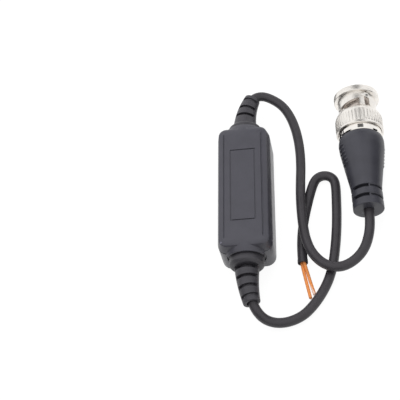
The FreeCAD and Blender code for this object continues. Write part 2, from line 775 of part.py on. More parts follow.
def bent_place(along, lean, length):
    """Where the cone's axis is, a given way from the collar, when its tip leans over by lean degrees."""
    angle = math.radians(lean) * along / length
    if angle < 1e-6:
        return Placement(Vector(0, 0, along), Rotation())
    curve = along / angle
    spot = Vector(curve * (1 - math.cos(angle)), 0, curve * math.sin(angle))
    return Placement(spot, Rotation(Vector(0, 1, 0), math.degrees(angle)))


def make_relief(name, lean_alias, way, cable):
    lean, length, collar = of_sheet(lean_alias), of_sheet("cone_length"), of_sheet("collar_length")
    body = new_body(f"{name}_solid")
    add_turned(
        body,
        f"{name}_collar",
        [
            ("0", "-Dims.case_wall - Dims.flange_length"),
            ("Dims.flange_radius", "-Dims.case_wall - Dims.flange_length"),
            ("Dims.flange_radius", "-Dims.case_wall"),
            ("Dims.entry_radius", "-Dims.case_wall"),
            ("Dims.entry_radius", "-Dims.recess_depth"),
            ("Dims.collar_radius", "-Dims.recess_depth"),
            ("Dims.collar_radius", "Dims.collar_length - Dims.collar_edge"),
            ("Dims.collar_radius - Dims.collar_edge", "Dims.collar_length"),
            ("0", "Dims.collar_length"),
        ],
    )
    sections = []
    for number in range(CONE_STATIONS + 1):
        share = number / CONE_STATIONS
        ring = body.newObject("Sketcher::SketchObject", f"{name}_ring_{number}")
        ring.AttachmentSupport = [(plane_of(body, "XY_Plane"), "")]
        ring.MapMode = "FlatFace"
        place = bent_place(share * length, lean, length)
        ring.AttachmentOffset = Placement(Vector(0, 0, collar), Rotation()).multiply(place)
        draw_circle(ring, f"Dims.cone_root + {share} * (Dims.cone_tip - Dims.cone_root)")
        sections.append(ring)
    cone = body.newObject("PartDesign::AdditiveLoft", f"{name}_cone")
    cone.Profile = sections[0]
    cone.Sections = sections[1:]
    doc.recompute()
    tip_height = collar + bent_place(length, lean, length).Base.z
    rounded = add_fillet(
        body,
        f"{name}_tip",
        cone,
        lambda e: e.Closed and e.CenterOfMass.z > tip_height - 0.3,
        "0.5",
    )
    slots = []
    slot = of_sheet("slot_width")
    start_angle = 90 - of_sheet("slot_angle") / 2
    for number in range(int(of_sheet("slot_count"))):
        along = number * of_sheet("slot_pitch") + slot / 2
        for side in (0, 180):
            place = Placement(Vector(0, 0, collar), Rotation()).multiply(bent_place(along, lean, length))
            turned = Placement(Vector(0, 0, -slot / 2), Rotation(Vector(0, 0, 1), start_angle + side))
            slots.append(
                ring_sector(
                    f"{name}_slot_{number}_{side}",
                    "Dims.slot_floor",
                    "Dims.cone_root + 0.4",
                    "Dims.slot_width",
                    "Dims.slot_angle",
                    place.multiply(turned),
                )
            )
    slotted = cut_from(f"{name}_slotted", body, joined(f"{name}_slots", slots))
    slotted.Placement = entry_frame(way)
    doc.recompute()
    return keep(cut_from(name, slotted, cable), name)


make_relief("coax_relief", "coax_bend_angle", 1, coax_cable)
make_relief("pair_relief", "pair_bend_angle", -1, pair_cable)


# Circuit board and what is soldered to it
BOARD_TOP = "Dims.board_height + Dims.board_thickness"
PAD_X, PAD_Y = of_sheet("pad_spread"), of_sheet("pad_place")
PADS = {
    "signal": (PAD_X, PAD_Y),
    "braid": (-PAD_X, PAD_Y),
    "line_a": (PAD_X, -PAD_Y),
    "line_b": (-PAD_X, -PAD_Y),
}


def make_board():
    body = new_body("circuit_board_solid")
    outline = rectangle("Dims.board_width / 2", "Dims.board_length / 2")
    add_pad(body, "board_blank", outline, "Dims.board_thickness", "Dims.board_height")
    keep(body, "circuit_board")


def make_core():
    body = new_body("core_solid")
    low = f"{BOARD_TOP} + Dims.turn_wire + Dims.turn_room"
    high = f"{low} + Dims.core_height"
    add_turned(
        body,
        "core_ring",
        [
            ("Dims.core_inner", f"{low} + 0.3"),
            ("Dims.core_inner + 0.3", low),
            ("Dims.core_outer - 0.3", low),
            ("Dims.core_outer", f"{low} + 0.3"),
            ("Dims.core_outer", f"{high} - 0.3"),
            ("Dims.core_outer - 0.3", high),
            ("Dims.core_inner + 0.3", high),
            ("Dims.core_inner", f"{high} - 0.3"),
        ],
    )
    keep(body, "transformer_core")


def make_winding(name, first_angle):
    """Separate turns round the ferrite ring, in a fan."""
    body = new_body(f"{name}_solid")
    thick, room = "Dims.turn_wire", "Dims.turn_room"
    low, high = BOARD_TOP, f"{BOARD_TOP} + 2 * ({thick} + {room}) + Dims.core_height"
    near, far = f"Dims.core_inner - {room}", f"Dims.core_outer + {room}"
    sketch = sketch_on(body, f"{name}_turn_outline", "XZ_Plane")
    outer_near, outer_far = f"{near} - {thick}", f"{far} + {thick}"
    outer = [(outer_near, low), (outer_far, low), (outer_far, high), (outer_near, high)]
    draw_outline(sketch, outer)
    inner_low, inner_high = f"{low} + {thick}", f"{high} - {thick}"
    draw_outline(sketch, [(near, inner_low), (far, inner_low), (far, inner_high), (near, inner_high)])
    turn = body.newObject("PartDesign::Pad", f"{name}_turn")
    turn.Profile = sketch
    turn.setExpression("Length", "Dims.turn_wire")
    turn.Midplane = True
    doc.recompute()
    add_polar(body, f"{name}_fan", turn, "Dims.turn_count", "Dims.winding_angle")
    keep(body, name, Placement(Vector(0, 0, 0), Rotation(Vector(0, 0, 1), first_angle)))


def make_chip(tag, side, height):
    """A chip part: a ceramic body between two end caps that stand a little proud."""
    middle_x, middle_y = side * of_sheet("chip_middle_x"), of_sheet("chip_middle_y")
    proud = 0.05
    blocks = [("body", 0.0, 0.0, "Dims.chip_length - 2 * Dims.chip_cap")]
    shift = size("(Dims.chip_length - Dims.chip_cap) / 2")
    for part, away in (("cap_a", -shift), ("cap_b", shift)):
        blocks.append((part, away, proud, "Dims.chip_cap"))
    solids = []
    for part, away, spread, length in blocks:
        corner = Vector(
            middle_x - size("Dims.chip_width / 2") - spread,
            middle_y + away - size(length) / 2,
            size(BOARD_TOP),
        )
        solids.append(
            primitive(
                "Box",
                f"{tag}_{part}",
                Placement(corner, Rotation()),
                Length=f"Dims.chip_width + {2 * spread}",
                Width=length,
                Height=f"{height} + {spread}",
            )
        )
    return joined(tag, solids)


def make_diode():
    body = new_body("surge_diode_solid")
    half_w, half_l = "Dims.diode_width / 2", "Dims.diode_length / 2"
    middle_y = "Dims.diode_place"
    moulding = add_pad(
        body,
        "diode_moulding",
        rectangle(half_l, half_w, "0", middle_y),
        "Dims.diode_height",
        f"{BOARD_TOP} + 0.15",
    )
    top = size(f"{BOARD_TOP} + 0.15 + Dims.diode_height")
    add_fillet(body, "diode_edges", moulding, lambda e: lies_at(e, top), "0.35")
    add_pad(
        body,
        "diode_leads",
        rectangle(f"{half_l} + 0.45", "1.0", "0", middle_y),
        "0.16",
        BOARD_TOP,
    )
    keep(body, "surge_diode")


def make_leads():
    """Bare ends of both cables, each bent down to its solder joint."""
    top = size(f"{BOARD_TOP} + Dims.dot_height")
    entry = size("Dims.case_length / 2 - Dims.case_wall - Dims.flange_length")
    height = of_sheet("axis_height")
    for name, pad, side in (
        ("coax_signal_lead", "signal", 1),
        ("coax_braid_lead", "braid", -1),
        ("pair_orange_lead", "line_a", 1),
        ("pair_white_lead", "line_b", -1),
    ):
        pad_x, pad_y = PADS[pad]
        way = 1 if pad_y > 0 else -1
        out = way * entry
        start_x = side * of_sheet("lead_spread")
        add_cord(
            name,
            [
                (start_x, out, height),
                (start_x, out - way * of_sheet("lead_run"), height),
                (pad_x, pad_y, height - of_sheet("lead_drop")),
                (pad_x, pad_y, top),
            ],
            "lead_radius",
        )


def make_joints():
    dots = []
    for name, (x, y) in PADS.items():
        where = Placement(Vector(x, y, size(BOARD_TOP)), Rotation())
        dots.append(
            primitive(
                "Cone",
                f"dot_{name}",
                where,
                Radius1="Dims.dot_radius",
                Radius2="Dims.lead_radius + 0.05",
                Height="Dims.dot_height",
            )
        )
    group = doc.addObject("Part::Compound", "solder_joints_group")
    group.Links = dots
    doc.recompute()
    keep(group, "solder_joints")


make_board()
make_core()
make_winding("primary_winding", -65)
make_winding("secondary_winding", 115)
make_diode()
keep(make_chip("load_resistor", 1, "Dims.chip_height"), "load_resistor")
keep(make_chip("line_capacitor", -1, "Dims.chip_width"), "line_capacitor")
make_leads()
make_joints()


# Plug: pieces turned about its own axis, from the mouth back
def make_plug_body():
    body = new_body("plug_body_solid")
    add_turned(
        body,
        "plug_body_turning",
        [
            ("Dims.body_bore", "Dims.shank_start"),
            ("Dims.shank_radius - 0.2", "Dims.shank_start"),
            ("Dims.shank_radius", "Dims.shank_start + 0.2"),
            ("Dims.shank_radius", "Dims.ring_start - 0.05"),
            ("Dims.ring_groove", "Dims.ring_start - 0.05"),
            ("Dims.ring_groove", "Dims.ring_start + Dims.ring_length + 0.05"),
            ("Dims.shank_radius", "Dims.ring_start + Dims.ring_length + 0.05"),
            ("Dims.shank_radius", "Dims.shoulder_start"),
            ("Dims.shoulder_radius", "Dims.shoulder_start"),
            ("Dims.shoulder_radius", "Dims.shoulder_end - 0.5"),
            ("Dims.shoulder_radius - 0.5", "Dims.shoulder_end"),
            ("Dims.tail_radius", "Dims.shoulder_end"),
            ("Dims.tail_radius", "Dims.tail_end"),
            ("Dims.nipple_radius", "Dims.tail_end"),
            ("Dims.nipple_radius", "Dims.nipple_end"),
            ("Dims.nipple_bore", "Dims.nipple_end"),
            ("Dims.nipple_bore", "Dims.insulator_end"),
            ("Dims.body_bore", "Dims.insulator_end"),
        ],
    )
    keep(body, "plug_body", PLUG)


def make_outer_contact():
    body = new_body("outer_contact_solid")
    inner = "Dims.contact_radius - Dims.contact_wall"
    add_turned(
        body,
        "contact_sleeve",
        [
            (inner, "Dims.contact_start"),
            ("Dims.contact_radius - 0.25", "Dims.contact_start"),
            ("Dims.contact_radius", "Dims.contact_start + 0.35"),
            ("Dims.contact_radius", "Dims.shank_start - Dims.gasket_length"),
            ("Dims.contact_seat", "Dims.shank_start - Dims.gasket_length"),
            ("Dims.contact_seat", "Dims.shank_start"),
            ("Dims.body_bore", "Dims.shank_start"),
            ("Dims.body_bore", "Dims.contact_end"),
            (f"{inner} - 0.35", "Dims.contact_end"),
            (f"{inner} - 0.35", "Dims.shank_start + 0.6"),
            (inner, "Dims.shank_start + 0.2"),
        ],
    )
    turn = of_sheet("contact_slot_angle")
    cutters = []
    for number in range(int(of_sheet("contact_slots"))):
        spin = Rotation(Vector(0, 0, 1), turn + number * 360 / of_sheet("contact_slots"))
        offset = Placement(Vector(0, -of_sheet("contact_slot_width") / 2, 0), Rotation())
        cutters.append(
            primitive(
                "Box",
                f"contact_slot_{number}",
                Placement(Vector(0, 0, 0), spin).multiply(offset),
                Length="Dims.contact_radius + 1",
                Width="Dims.contact_slot_width",
                Height="Dims.contact_slot_end",
            )
        )
    slotted = cut_from("contact_slotted", body, joined("contact_slots", cutters))
    keep(slotted, "outer_contact", PLUG)


def make_insulator():
    body = new_body("plug_insulator_solid")
    wide = "Dims.contact_radius - Dims.contact_wall - 0.35"
    add_turned(
        body,
        "insulator_turning",
        [
            ("Dims.pin_barrel", "Dims.insulator_start"),
            ("Dims.insulator_nose", "Dims.insulator_start"),
            ("Dims.insulator_nose", "Dims.insulator_step"),
            (wide, "Dims.insulator_step"),
            (wide, "Dims.contact_end"),
            ("Dims.body_bore", "Dims.contact_end"),
            ("Dims.body_bore", "Dims.insulator_end"),
            ("Dims.pin_barrel", "Dims.insulator_end"),
        ],
    )
    keep(body, "plug_insulator", PLUG)


def make_centre_pin():
    body = new_body("centre_pin_solid")
    add_turned(
        body,
        "pin_turning",
        [
            ("0", "Dims.pin_start"),
            ("0.3", "Dims.pin_start"),
            ("Dims.pin_radius", "Dims.pin_start + 0.7"),
            ("Dims.pin_radius", "Dims.insulator_start"),
            ("Dims.pin_barrel", "Dims.insulator_start"),
            ("Dims.pin_barrel", "Dims.pin_end"),
            ("0", "Dims.pin_end"),
        ],
    )
    keep(body, "centre_pin", PLUG)


def make_gasket():
    body = new_body("mouth_gasket_solid")
    front = "Dims.shank_start - Dims.gasket_length"
    add_turned(
        body,
        "gasket_ring",
        [
            ("Dims.contact_seat", front),
            ("Dims.gasket_outer - 0.2", front),
            ("Dims.gasket_outer", f"{front} + 0.2"),
            ("Dims.gasket_outer", "Dims.shank_start"),
            ("Dims.contact_seat", "Dims.shank_start"),
        ],
    )
    keep(body, "mouth_gasket", PLUG)


def make_retaining_ring():
    sweep = 360 - of_sheet("ring_open_angle")
    ring = ring_sector(
        "retaining_ring_solid",
        "Dims.ring_groove",
        "Dims.ring_radius",
        "Dims.ring_length",
        "360 - Dims.ring_open_angle",
        Placement(Vector(0, 0, of_sheet("ring_start")), Rotation(Vector(0, 0, 1), 90 - sweep / 2)),
    )
    keep(ring, "retaining_ring", PLUG.multiply(ring.Placement))


def make_spring_washer():
    """A washer bent over a cylinder: a slice of a thin curved sheet inside a tube."""
    rise, radius = of_sheet("washer_rise"), of_sheet("washer_radius")
    curve = (radius**2 + rise**2) / (2 * rise)
    start = size("Dims.ring_start + Dims.ring_length + 0.05")
    lay = Rotation(Vector(1, 0, 0), 90)
    wide = 2 * radius + 2
    sheets = []
    for tag, grow in (("outer", of_sheet("washer_sheet")), ("inner", 0.0)):
        sheets.append(
            primitive(
                "Cylinder",
                f"washer_sheet_{tag}",
                Placement(Vector(0, wide / 2, start - curve + rise), lay),
                Radius=str(curve + grow),
                Height=str(wide),
            )
        )
    sheet_form = cut_from("washer_sheet_form", sheets[0], sheets[1])
    disc = primitive("Cylinder", "washer_disc", Radius="Dims.washer_radius", Height="Dims.lip_start")
    hole = primitive("Cylinder", "washer_hole", Radius="Dims.washer_bore", Height="Dims.lip_start")
    pipe = cut_from("washer_pipe", disc, hole)
    washer = doc.addObject("Part::Common", "spring_washer_solid")
    washer.Base = sheet_form
    washer.Tool = pipe
    doc.recompute()
    keep(washer, "spring_washer", PLUG)


def make_ferrule():
    body = new_body("crimp_ferrule_solid")
    add_turned(
        body,
        "ferrule_turning",
        [
            ("Dims.nipple_radius", "Dims.ferrule_start"),
            ("Dims.ferrule_radius", "Dims.ferrule_start"),
            ("Dims.ferrule_radius", "Dims.ferrule_end"),
            ("Dims.nipple_radius", "Dims.ferrule_end"),
        ],
    )
    keep(body, "crimp_ferrule", PLUG)


make_plug_body()
make_outer_contact()
make_insulator()
make_centre_pin()
make_gasket()
make_retaining_ring()
make_spring_washer()
make_ferrule()


# Boot: moulded over the tail, the ferrule and the cable
def make_boot():
    body = new_body("plug_boot_solid")
    form = add_turned(
        body,
        "boot_form",
        [
            ("0", "Dims.boot_start"),
            ("Dims.boot_mouth", "Dims.boot_start"),
            ("Dims.bulge_radius", "Dims.bulge_place"),
            ("Dims.taper_radius", "Dims.taper_start"),
            ("Dims.tip_radius", "Dims.taper_end"),
            ("Dims.tip_radius", "Dims.boot_end"),
            ("0", "Dims.boot_end"),
        ],
    )

    def circle_at(edge, place):
        return edge.Closed and lies_at(edge, of_sheet(place))

    bent = add_fillet(body, "boot_shoulder", form, lambda e: circle_at(e, "taper_start"), "Dims.shoulder_round")
    waist = add_fillet(body, "boot_waist", bent, lambda e: circle_at(e, "taper_end"), "Dims.waist_round")
    add_fillet(body, "boot_tip", waist, lambda e: circle_at(e, "boot_end"), "Dims.tip_round")
    ridges = []
    slope = size("(Dims.taper_radius - Dims.tip_radius) / (Dims.taper_end - Dims.taper_start)")
    for number in range(int(of_sheet("ridge_count"))):
        place = size(f"Dims.ridge_first + {number} * Dims.ridge_pitch")
        past = max(0.0, place - of_sheet("taper_start"))
        surface = size("Dims.taper_radius") - slope * past
        before = max(0.0, of_sheet("taper_start") - place)
        surface += before * 0.05
        for side in (-1, 1):
            middle = of_sheet("ridge_middle_angle") + (180 if side > 0 else 0)
            turn = Rotation(Vector(0, 0, 1), middle - of_sheet("ridge_angle") / 2)
            ridge = primitive(
                "Torus",
                f"boot_ridge_{number}_{'left' if side < 0 else 'right'}",
                Placement(Vector(0, 0, place), turn),
                Radius1=str(surface - of_sheet("ridge_sink")),
                Radius2="Dims.ridge_radius",
                Angle3="Dims.ridge_angle",
            )
            ridges.append(ridge)
    ridged = joined("boot_ridged", [body] + ridges)
    slots = []
    for place in ("boot_slot_one", "boot_slot_two"):
        for quarter in range(4):
            middle = of_sheet("boot_slot_first_angle") + 90 * quarter
            turn = Rotation(Vector(0, 0, 1), middle - of_sheet("boot_slot_angle") / 2)
            slots.append(
                ring_sector(
                    f"{place}_{quarter}",
                    "Dims.boot_slot_floor",
                    "Dims.tip_radius + 1",
                    "Dims.boot_slot_width",
                    "Dims.boot_slot_angle",
                    Placement(Vector(0, 0, of_sheet(place) - of_sheet("boot_slot_width") / 2), turn),
                )
            )
    slotted = cut_from("boot_slotted", ridged, joined("boot_slots", slots))
    pocket = new_body("boot_pocket_solid")
    add_turned(
        pocket,
        "boot_pocket",
        [
            ("0", "Dims.boot_start - 1"),
            ("Dims.tail_radius", "Dims.boot_start - 1"),
            ("Dims.tail_radius", "Dims.tail_end"),
            ("Dims.ferrule_radius", "Dims.tail_end"),
            ("Dims.ferrule_radius", "Dims.ferrule_end"),
            ("0", "Dims.ferrule_end"),
        ],
    )
    hollow = cut_from("boot_hollow", slotted, pocket)
    hollow.Placement = PLUG
    doc.recompute()
    keep(cut_from("plug_boot", hollow, coax_cable), "plug_boot")


make_boot()


# Coupling nut: a turned shell with two cam slots, their entry tracks and a knurled grip
def cam_cutter():
    """One cam slot, swept upright along a helix between two round ends."""
    sweep = of_sheet("cam_span_angle")
    climb = size("Dims.cam_end - Dims.cam_start")
    inner, outer = size("Dims.jack_bore - 0.6"), size("Dims.neck_radius + 1.2")
    pitch = climb * 360 / sweep
    path = Part.makeHelix(pitch, climb, inner)
    half = of_sheet("cam_width") / 2
    frame = [Vector(inner, 0, -half), Vector(outer, 0, -half), Vector(outer, 0, half), Vector(inner, 0, half)]
    section = Part.makePolygon(frame + frame[:1])
    shell = Part.BRepOffsetAPI.MakePipeShell(Part.Wire(path.Edges))
    shell.setBiNormalMode(Vector(0, 0, 1))
    shell.add(section)
    shell.build()
    shell.makeSolid()
    ramp = shell.shape()
    round_end = Part.makeCylinder(half, outer, Vector(0, 0, 0), Vector(1, 0, 0))
    near = round_end.copy()
    far = Part.makeCylinder(half + 0.2, outer, Vector(0, 0, 0), Vector(1, 0, 0))
    far.rotate(Vector(0, 0, 0), Vector(0, 0, 1), sweep)
    far.translate(Vector(0, 0, climb))
    return ramp.fuse([near, far])


def make_coupling_nut():
    body = new_body("coupling_nut_solid")
    add_turned(
        body,
        "nut_turning",
        [
            ("Dims.jack_bore + Dims.mouth_flare", "0"),
            ("Dims.rim_radius - 0.35", "0"),
            ("Dims.rim_radius", "0.35"),
            ("Dims.rim_radius", "Dims.rim_length - 0.2"),
            ("Dims.rim_radius - 0.2", "Dims.rim_length"),
            ("Dims.neck_radius", "Dims.rim_length"),
            ("Dims.neck_radius", "Dims.neck_end"),
            ("Dims.grip_radius - 0.3", "Dims.grip_start - 0.5"),
            ("Dims.grip_radius", "Dims.grip_start"),
            ("Dims.grip_radius", "Dims.nut_length - 0.35"),
            ("Dims.grip_radius - 0.35", "Dims.nut_length"),
            ("Dims.skirt_bore", "Dims.nut_length"),
            ("Dims.skirt_bore", "Dims.lip_end"),
            ("Dims.lip_bore", "Dims.lip_end"),
            ("Dims.lip_bore", "Dims.lip_start"),
            ("Dims.chamber_radius", "Dims.lip_start"),
            ("Dims.chamber_radius", "Dims.chamber_start"),
            ("Dims.jack_bore", "Dims.chamber_start - 0.6"),
            ("Dims.jack_bore", "Dims.mouth_flare"),
        ],
    )
    sketch = sketch_on(body, "knurl_outline", "XY_Plane", "Dims.grip_start + 0.5")
    draw_outline(
        sketch,
        [
            ("Dims.grip_radius - Dims.knurl_cut", "0"),
            ("Dims.grip_radius + 0.2", "-Dims.knurl_width / 2 - 0.1"),
            ("Dims.grip_radius + 0.2", "Dims.knurl_width / 2 + 0.1"),
        ],
    )
    groove = body.newObject("PartDesign::Pocket", "knurl_groove")
    groove.Profile = sketch
    groove.Reversed = True
    groove.setExpression("Length", "Dims.grip_end - Dims.grip_start - 0.5")
    doc.recompute()
    add_polar(body, "knurl", groove, "Dims.knurl_count")
    bridges, openings = [], []
    slot = cam_cutter()
    for number in range(2):
        # the entry end of each slot, measured from the top towards the plug's right flank
        entry = 90 - of_sheet("cam_angle") + 180 * number
        track_start = entry - of_sheet("track_angle") + of_sheet("track_lead_angle")
        ramp = doc.addObject("Part::Feature", f"cam_slot_{number}")
        ramp.Shape = slot
        ramp.Placement = Placement(Vector(0, 0, of_sheet("cam_start")), Rotation(Vector(0, 0, 1), entry))
        openings.append(ramp)
        track = ring_sector(
            f"stud_track_{number}",
            "Dims.jack_bore - 0.5",
            "Dims.stud_track",
            "Dims.track_end",
            "Dims.track_angle",
            Placement(Vector(0, 0, 0), Rotation(Vector(0, 0, 1), track_start)),
        )
        openings.append(track)
        window_turn = Rotation(Vector(0, 0, 1), entry - of_sheet("window_angle"))
        offset = Placement(Vector(0, -of_sheet("window_width") / 2, of_sheet("window_start")), Rotation())
        openings.append(
            primitive(
                "Box",
                f"stud_window_{number}",
                Placement(Vector(0, 0, 0), window_turn).multiply(offset),
                Length="Dims.neck_radius + 1.2",
                Width="Dims.window_width",
                Height="Dims.window_end - Dims.window_start",
            )
        )
        bridges.append(
            ring_sector(
                f"track_bridge_{number}",
                "Dims.jack_bore + 0.2",
                "Dims.bridge_radius",
                "Dims.bridge_end - Dims.bridge_start",
                "Dims.track_angle - Dims.track_lead_angle",
                Placement(
                    Vector(0, 0, of_sheet("bridge_start")),
                    Rotation(Vector(0, 0, 1), track_start + of_sheet("track_lead_angle") / 2),
                ),
            )
        )
    bridged = joined("nut_bridged", [body] + bridges)
    keep(cut_from("nut_slotted", bridged, joined("nut_openings", openings)), "coupling_nut", PLUG)


make_coupling_nut()


# Coax inside the ferrule and nipple: foam dielectric round the inner conductor
def make_coax_inner():
    body = new_body("coax_inner_solid")
    jacket_end = (Vector(*COAX_ROUTE[-1]) - PLUG.Base).Length
    add_turned(
        body,
        "coax_inner_turning",
        [
            ("0", "Dims.pin_end"),
            ("0.3", "Dims.pin_end"),
            ("0.3", "Dims.pin_end + 1"),
            ("0.8", "Dims.pin_end + 1"),
            ("0.8", str(jacket_end)),
            ("0", str(jacket_end)),
        ],
    )
    keep(body, "coax_dielectric", PLUG)


make_coax_inner()


# Check every object, then write the sub-parts
doc.recompute()
faults = [item.Name for item in doc.Objects if {"Invalid", "Error"} & set(item.State)]
if faults:
    raise ValueError(f"these objects failed: {faults}")
os.makedirs("parts", exist_ok=True)
for name, item in kept:
    shape = item.Shape
    if shape.isNull() or not shape.isValid():
        raise ValueError(f"{name} has no valid shape")
    shape.exportStep(f"parts/{name}.step")
    print(f"{name}: {len(shape.Solids)} solid(s), {shape.Volume:.1f} mm3, valid")
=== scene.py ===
"""Finishes and soft detail of a passive video balun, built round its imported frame.

Lengths are millimetres, and are turned into metres when a mesh is made; settings, the light and the camera
are in metres. Plug pieces are drawn along the plug's own axis, from its mouth back, and strain reliefs
along the cable's way out. A profile's corners are (radius, place along the axis, rounding if any).
"""

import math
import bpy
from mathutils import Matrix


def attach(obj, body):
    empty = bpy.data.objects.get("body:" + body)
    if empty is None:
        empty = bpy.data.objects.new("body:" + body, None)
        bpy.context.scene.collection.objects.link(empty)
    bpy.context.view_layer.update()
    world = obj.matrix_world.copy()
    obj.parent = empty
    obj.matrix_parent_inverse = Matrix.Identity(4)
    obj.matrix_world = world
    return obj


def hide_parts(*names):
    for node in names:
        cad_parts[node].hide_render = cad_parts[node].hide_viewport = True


bl_info = {
    "name": "Video Balun",
    "version": (1, 0, 0),
    "blender": (4, 5, 0),
    "location": "View3D > Sidebar > Balun",
    "description": "Builds the looks of a passive video balun with a bayonet plug",
    "category": "Object",
}

import bmesh
import bpy
from mathutils import Matrix, Vector

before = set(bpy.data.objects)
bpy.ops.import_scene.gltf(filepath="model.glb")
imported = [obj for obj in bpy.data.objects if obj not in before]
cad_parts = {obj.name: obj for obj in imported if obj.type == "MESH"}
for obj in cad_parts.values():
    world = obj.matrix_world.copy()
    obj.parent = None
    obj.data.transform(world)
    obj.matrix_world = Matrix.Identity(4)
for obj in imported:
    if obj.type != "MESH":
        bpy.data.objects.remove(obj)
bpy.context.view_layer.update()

MM = 0.001
WHITE = (1.0, 1.0, 1.0, 1.0)

# Housing
CASE_WIDTH, CASE_LENGTH, CASE_DEPTH = 16.0, 42.0, 14.0
CASE_CORNER, CASE_WALL, SEAM_HEIGHT = 3.0, 1.5, 10.0
AXIS_HEIGHT = 7.0

# Plug: the middle of its mouth and how it lies
PLUG_NOSE = (34.9, 32.1, 7.25)
PLUG_YAW = math.radians(1.5)
PLUG_PLACE = (
    Matrix.Translation(Vector(PLUG_NOSE))
    @ Matrix.Rotation(PLUG_YAW, 4, "Z")
    @ Matrix.Rotation(math.pi / 2, 4, "X")
)
COAX_PLACE = Matrix.Translation((0, CASE_LENGTH / 2, AXIS_HEIGHT)) @ Matrix.Rotation(-math.pi / 2, 4, "X")
PAIR_PLACE = Matrix.Translation((0, -CASE_LENGTH / 2, AXIS_HEIGHT)) @ Matrix.Rotation(math.pi / 2, 4, "X")

# Routes of the leads and of the pair's wires
COAX_ROUTE = [
    (0.0, 18.3, 7.0),
    (0.0, 26.0, 7.0),
    (1.4, 33.6, 7.0),
    (3.1, 36.1, 6.9),
    (5.8, 36.6, 6.7),
    (8.7, 35.2, 6.4),
    (11.7, 32.9, 5.8),
    (14.0, 29.4, 4.8),
    (15.6, 24.6, 3.4),
    (16.4, 19.0, 2.2),
    (16.5, 12.6, 1.7),
    (16.2, 6.2, 2.6),
    (16.1, 0.2, 4.2),
    (16.2, -5.6, 4.6),
    (16.5, -10.8, 4.6),
    (17.2, -15.8, 4.6),
    (19.0, -20.4, 4.6),
    (22.3, -24.0, 4.6),
    (26.6, -25.2, 4.7),
    (30.6, -23.6, 5.0),
    (33.8, -20.4, 5.6),
    (35.5, -16.0, 6.4),
    (36.1, -11.4, 7.05),
    (35.91, -6.6, 7.2),
    (35.8, -2.4, 7.25),
    (35.7, 1.4, 7.25),
]

PAIR_ROUTE = [
    (0.0, -18.3, 7.0),
    (0.0, -26.0, 7.0),
    (0.95, -33.6, 7.0),
    (2.0, -37.1, 5.9),
    (4.2, -39.3, 3.6),
    (7.5, -40.0, 1.9),
    (11.4, -39.6, 1.5),
    (15.3, -37.9, 1.5),
    (18.3, -34.9, 1.5),
    (20.8, -31.4, 1.5),
    (22.9, -27.4, 1.5),
    (24.4, -22.8, 1.5),
    (25.3, -17.6, 1.5),
    (26.0, -12.0, 1.5),
    (26.4, -6.6, 1.5),
    (26.6, -1.4, 1.5),
    (26.7, 2.9, 1.5),
    (26.5, 5.94, 1.5),
    (25.27, 7.62, 1.5),
    (23.3, 8.26, 1.5),
    (21.33, 7.62, 1.5),
    (20.1, 5.94, 1.5),
    (19.0, 2.7, 1.5),
    (17.9, -1.4, 1.5),
    (16.7, -6.4, 1.5),
    (15.9, -11.4, 1.5),
    (15.6, -16.2, 1.5),
    (15.7, -21.0, 1.5),
]

ORANGE_ROUTE = [
    (15.25, -20.2, 1.2),
    (15.55, -22.2, 1.05),
    (16.0, -24.9, 0.55),
    (16.65, -28.3, 0.5),
    (17.4, -32.2, 0.5),
]

STRIPED_ROUTE = [
    (16.0, -20.2, 1.85),
    (16.35, -22.2, 1.65),
    (17.08, -24.9, 0.75),
    (17.77, -27.9, 0.5),
    (18.62, -31.1, 0.5),
]


class BalunHousingSettings(bpy.types.PropertyGroup):
    """Sizes and colour of the moulded housing and its strain reliefs."""

    plastic: bpy.props.FloatVectorProperty(
        name="Plastic",
        description="Colour of the moulded housing",
        subtype="COLOR",
        size=4,
        min=0.0,
        max=1.0,
        default=(0.053, 0.052, 0.065, 1.0),
    )
    edge: bpy.props.FloatProperty(
        name="Edge break",
        description="Small bevel along both edges of the seam",
        subtype="DISTANCE",
        min=0.0,
        max=0.0004,
        default=0.0003,
    )
    relief: bpy.props.FloatVectorProperty(
        name="Relief",
        description="Colour of the soft strain reliefs",
        subtype="COLOR",
        size=4,
        min=0.0,
        max=1.0,
        default=(0.044, 0.042, 0.049, 1.0),
    )


class BalunLeadSettings(bpy.types.PropertyGroup):
    """Sizes and colours of both leads and of the pair's wires."""

    diameter: bpy.props.FloatProperty(
        name="Lead",
        description="Diameter of both round leads",
        subtype="DISTANCE",
        min=0.002,
        max=0.004,
        default=0.0029,
    )
    wire: bpy.props.FloatProperty(
        name="Wire",
        description="Diameter over each wire's insulation",
        subtype="DISTANCE",
        min=0.0006,
        max=0.0014,
        default=0.00096,
    )
    jacket: bpy.props.FloatVectorProperty(
        name="Jacket",
        description="Colour of both jackets",
        subtype="COLOR",
        size=4,
        min=0.0,
        max=1.0,
        default=(0.036, 0.033, 0.038, 1.0),
    )
    insulation: bpy.props.FloatVectorProperty(
        name="Insulation",
        description="Colour of the pair's insulation",
        subtype="COLOR",
        size=4,
        min=0.0,
        max=1.0,
        default=(0.80, 0.28, 0.07, 1.0),
    )


class BalunPlugSettings(bpy.types.PropertyGroup):
    """Sizes and colours of the bayonet plug."""

    knurl: bpy.props.IntProperty(
        name="Knurl ridges",
        description="Ridges round the coupling nut's grip",
        min=20,
        max=80,
        default=44,
    )
    plating: bpy.props.FloatVectorProperty(
        name="Plating",
        description="Colour of the nickel plate",
        subtype="COLOR",
        size=4,
        min=0.0,
        max=1.0,
        default=(0.93, 0.895, 0.85, 1.0),
    )
    boot: bpy.props.FloatVectorProperty(
        name="Boot",
        description="Colour of the moulded boot",
        subtype="COLOR",
        size=4,
        min=0.0,
        max=1.0,
        default=(0.042, 0.042, 0.053, 1.0),
    )


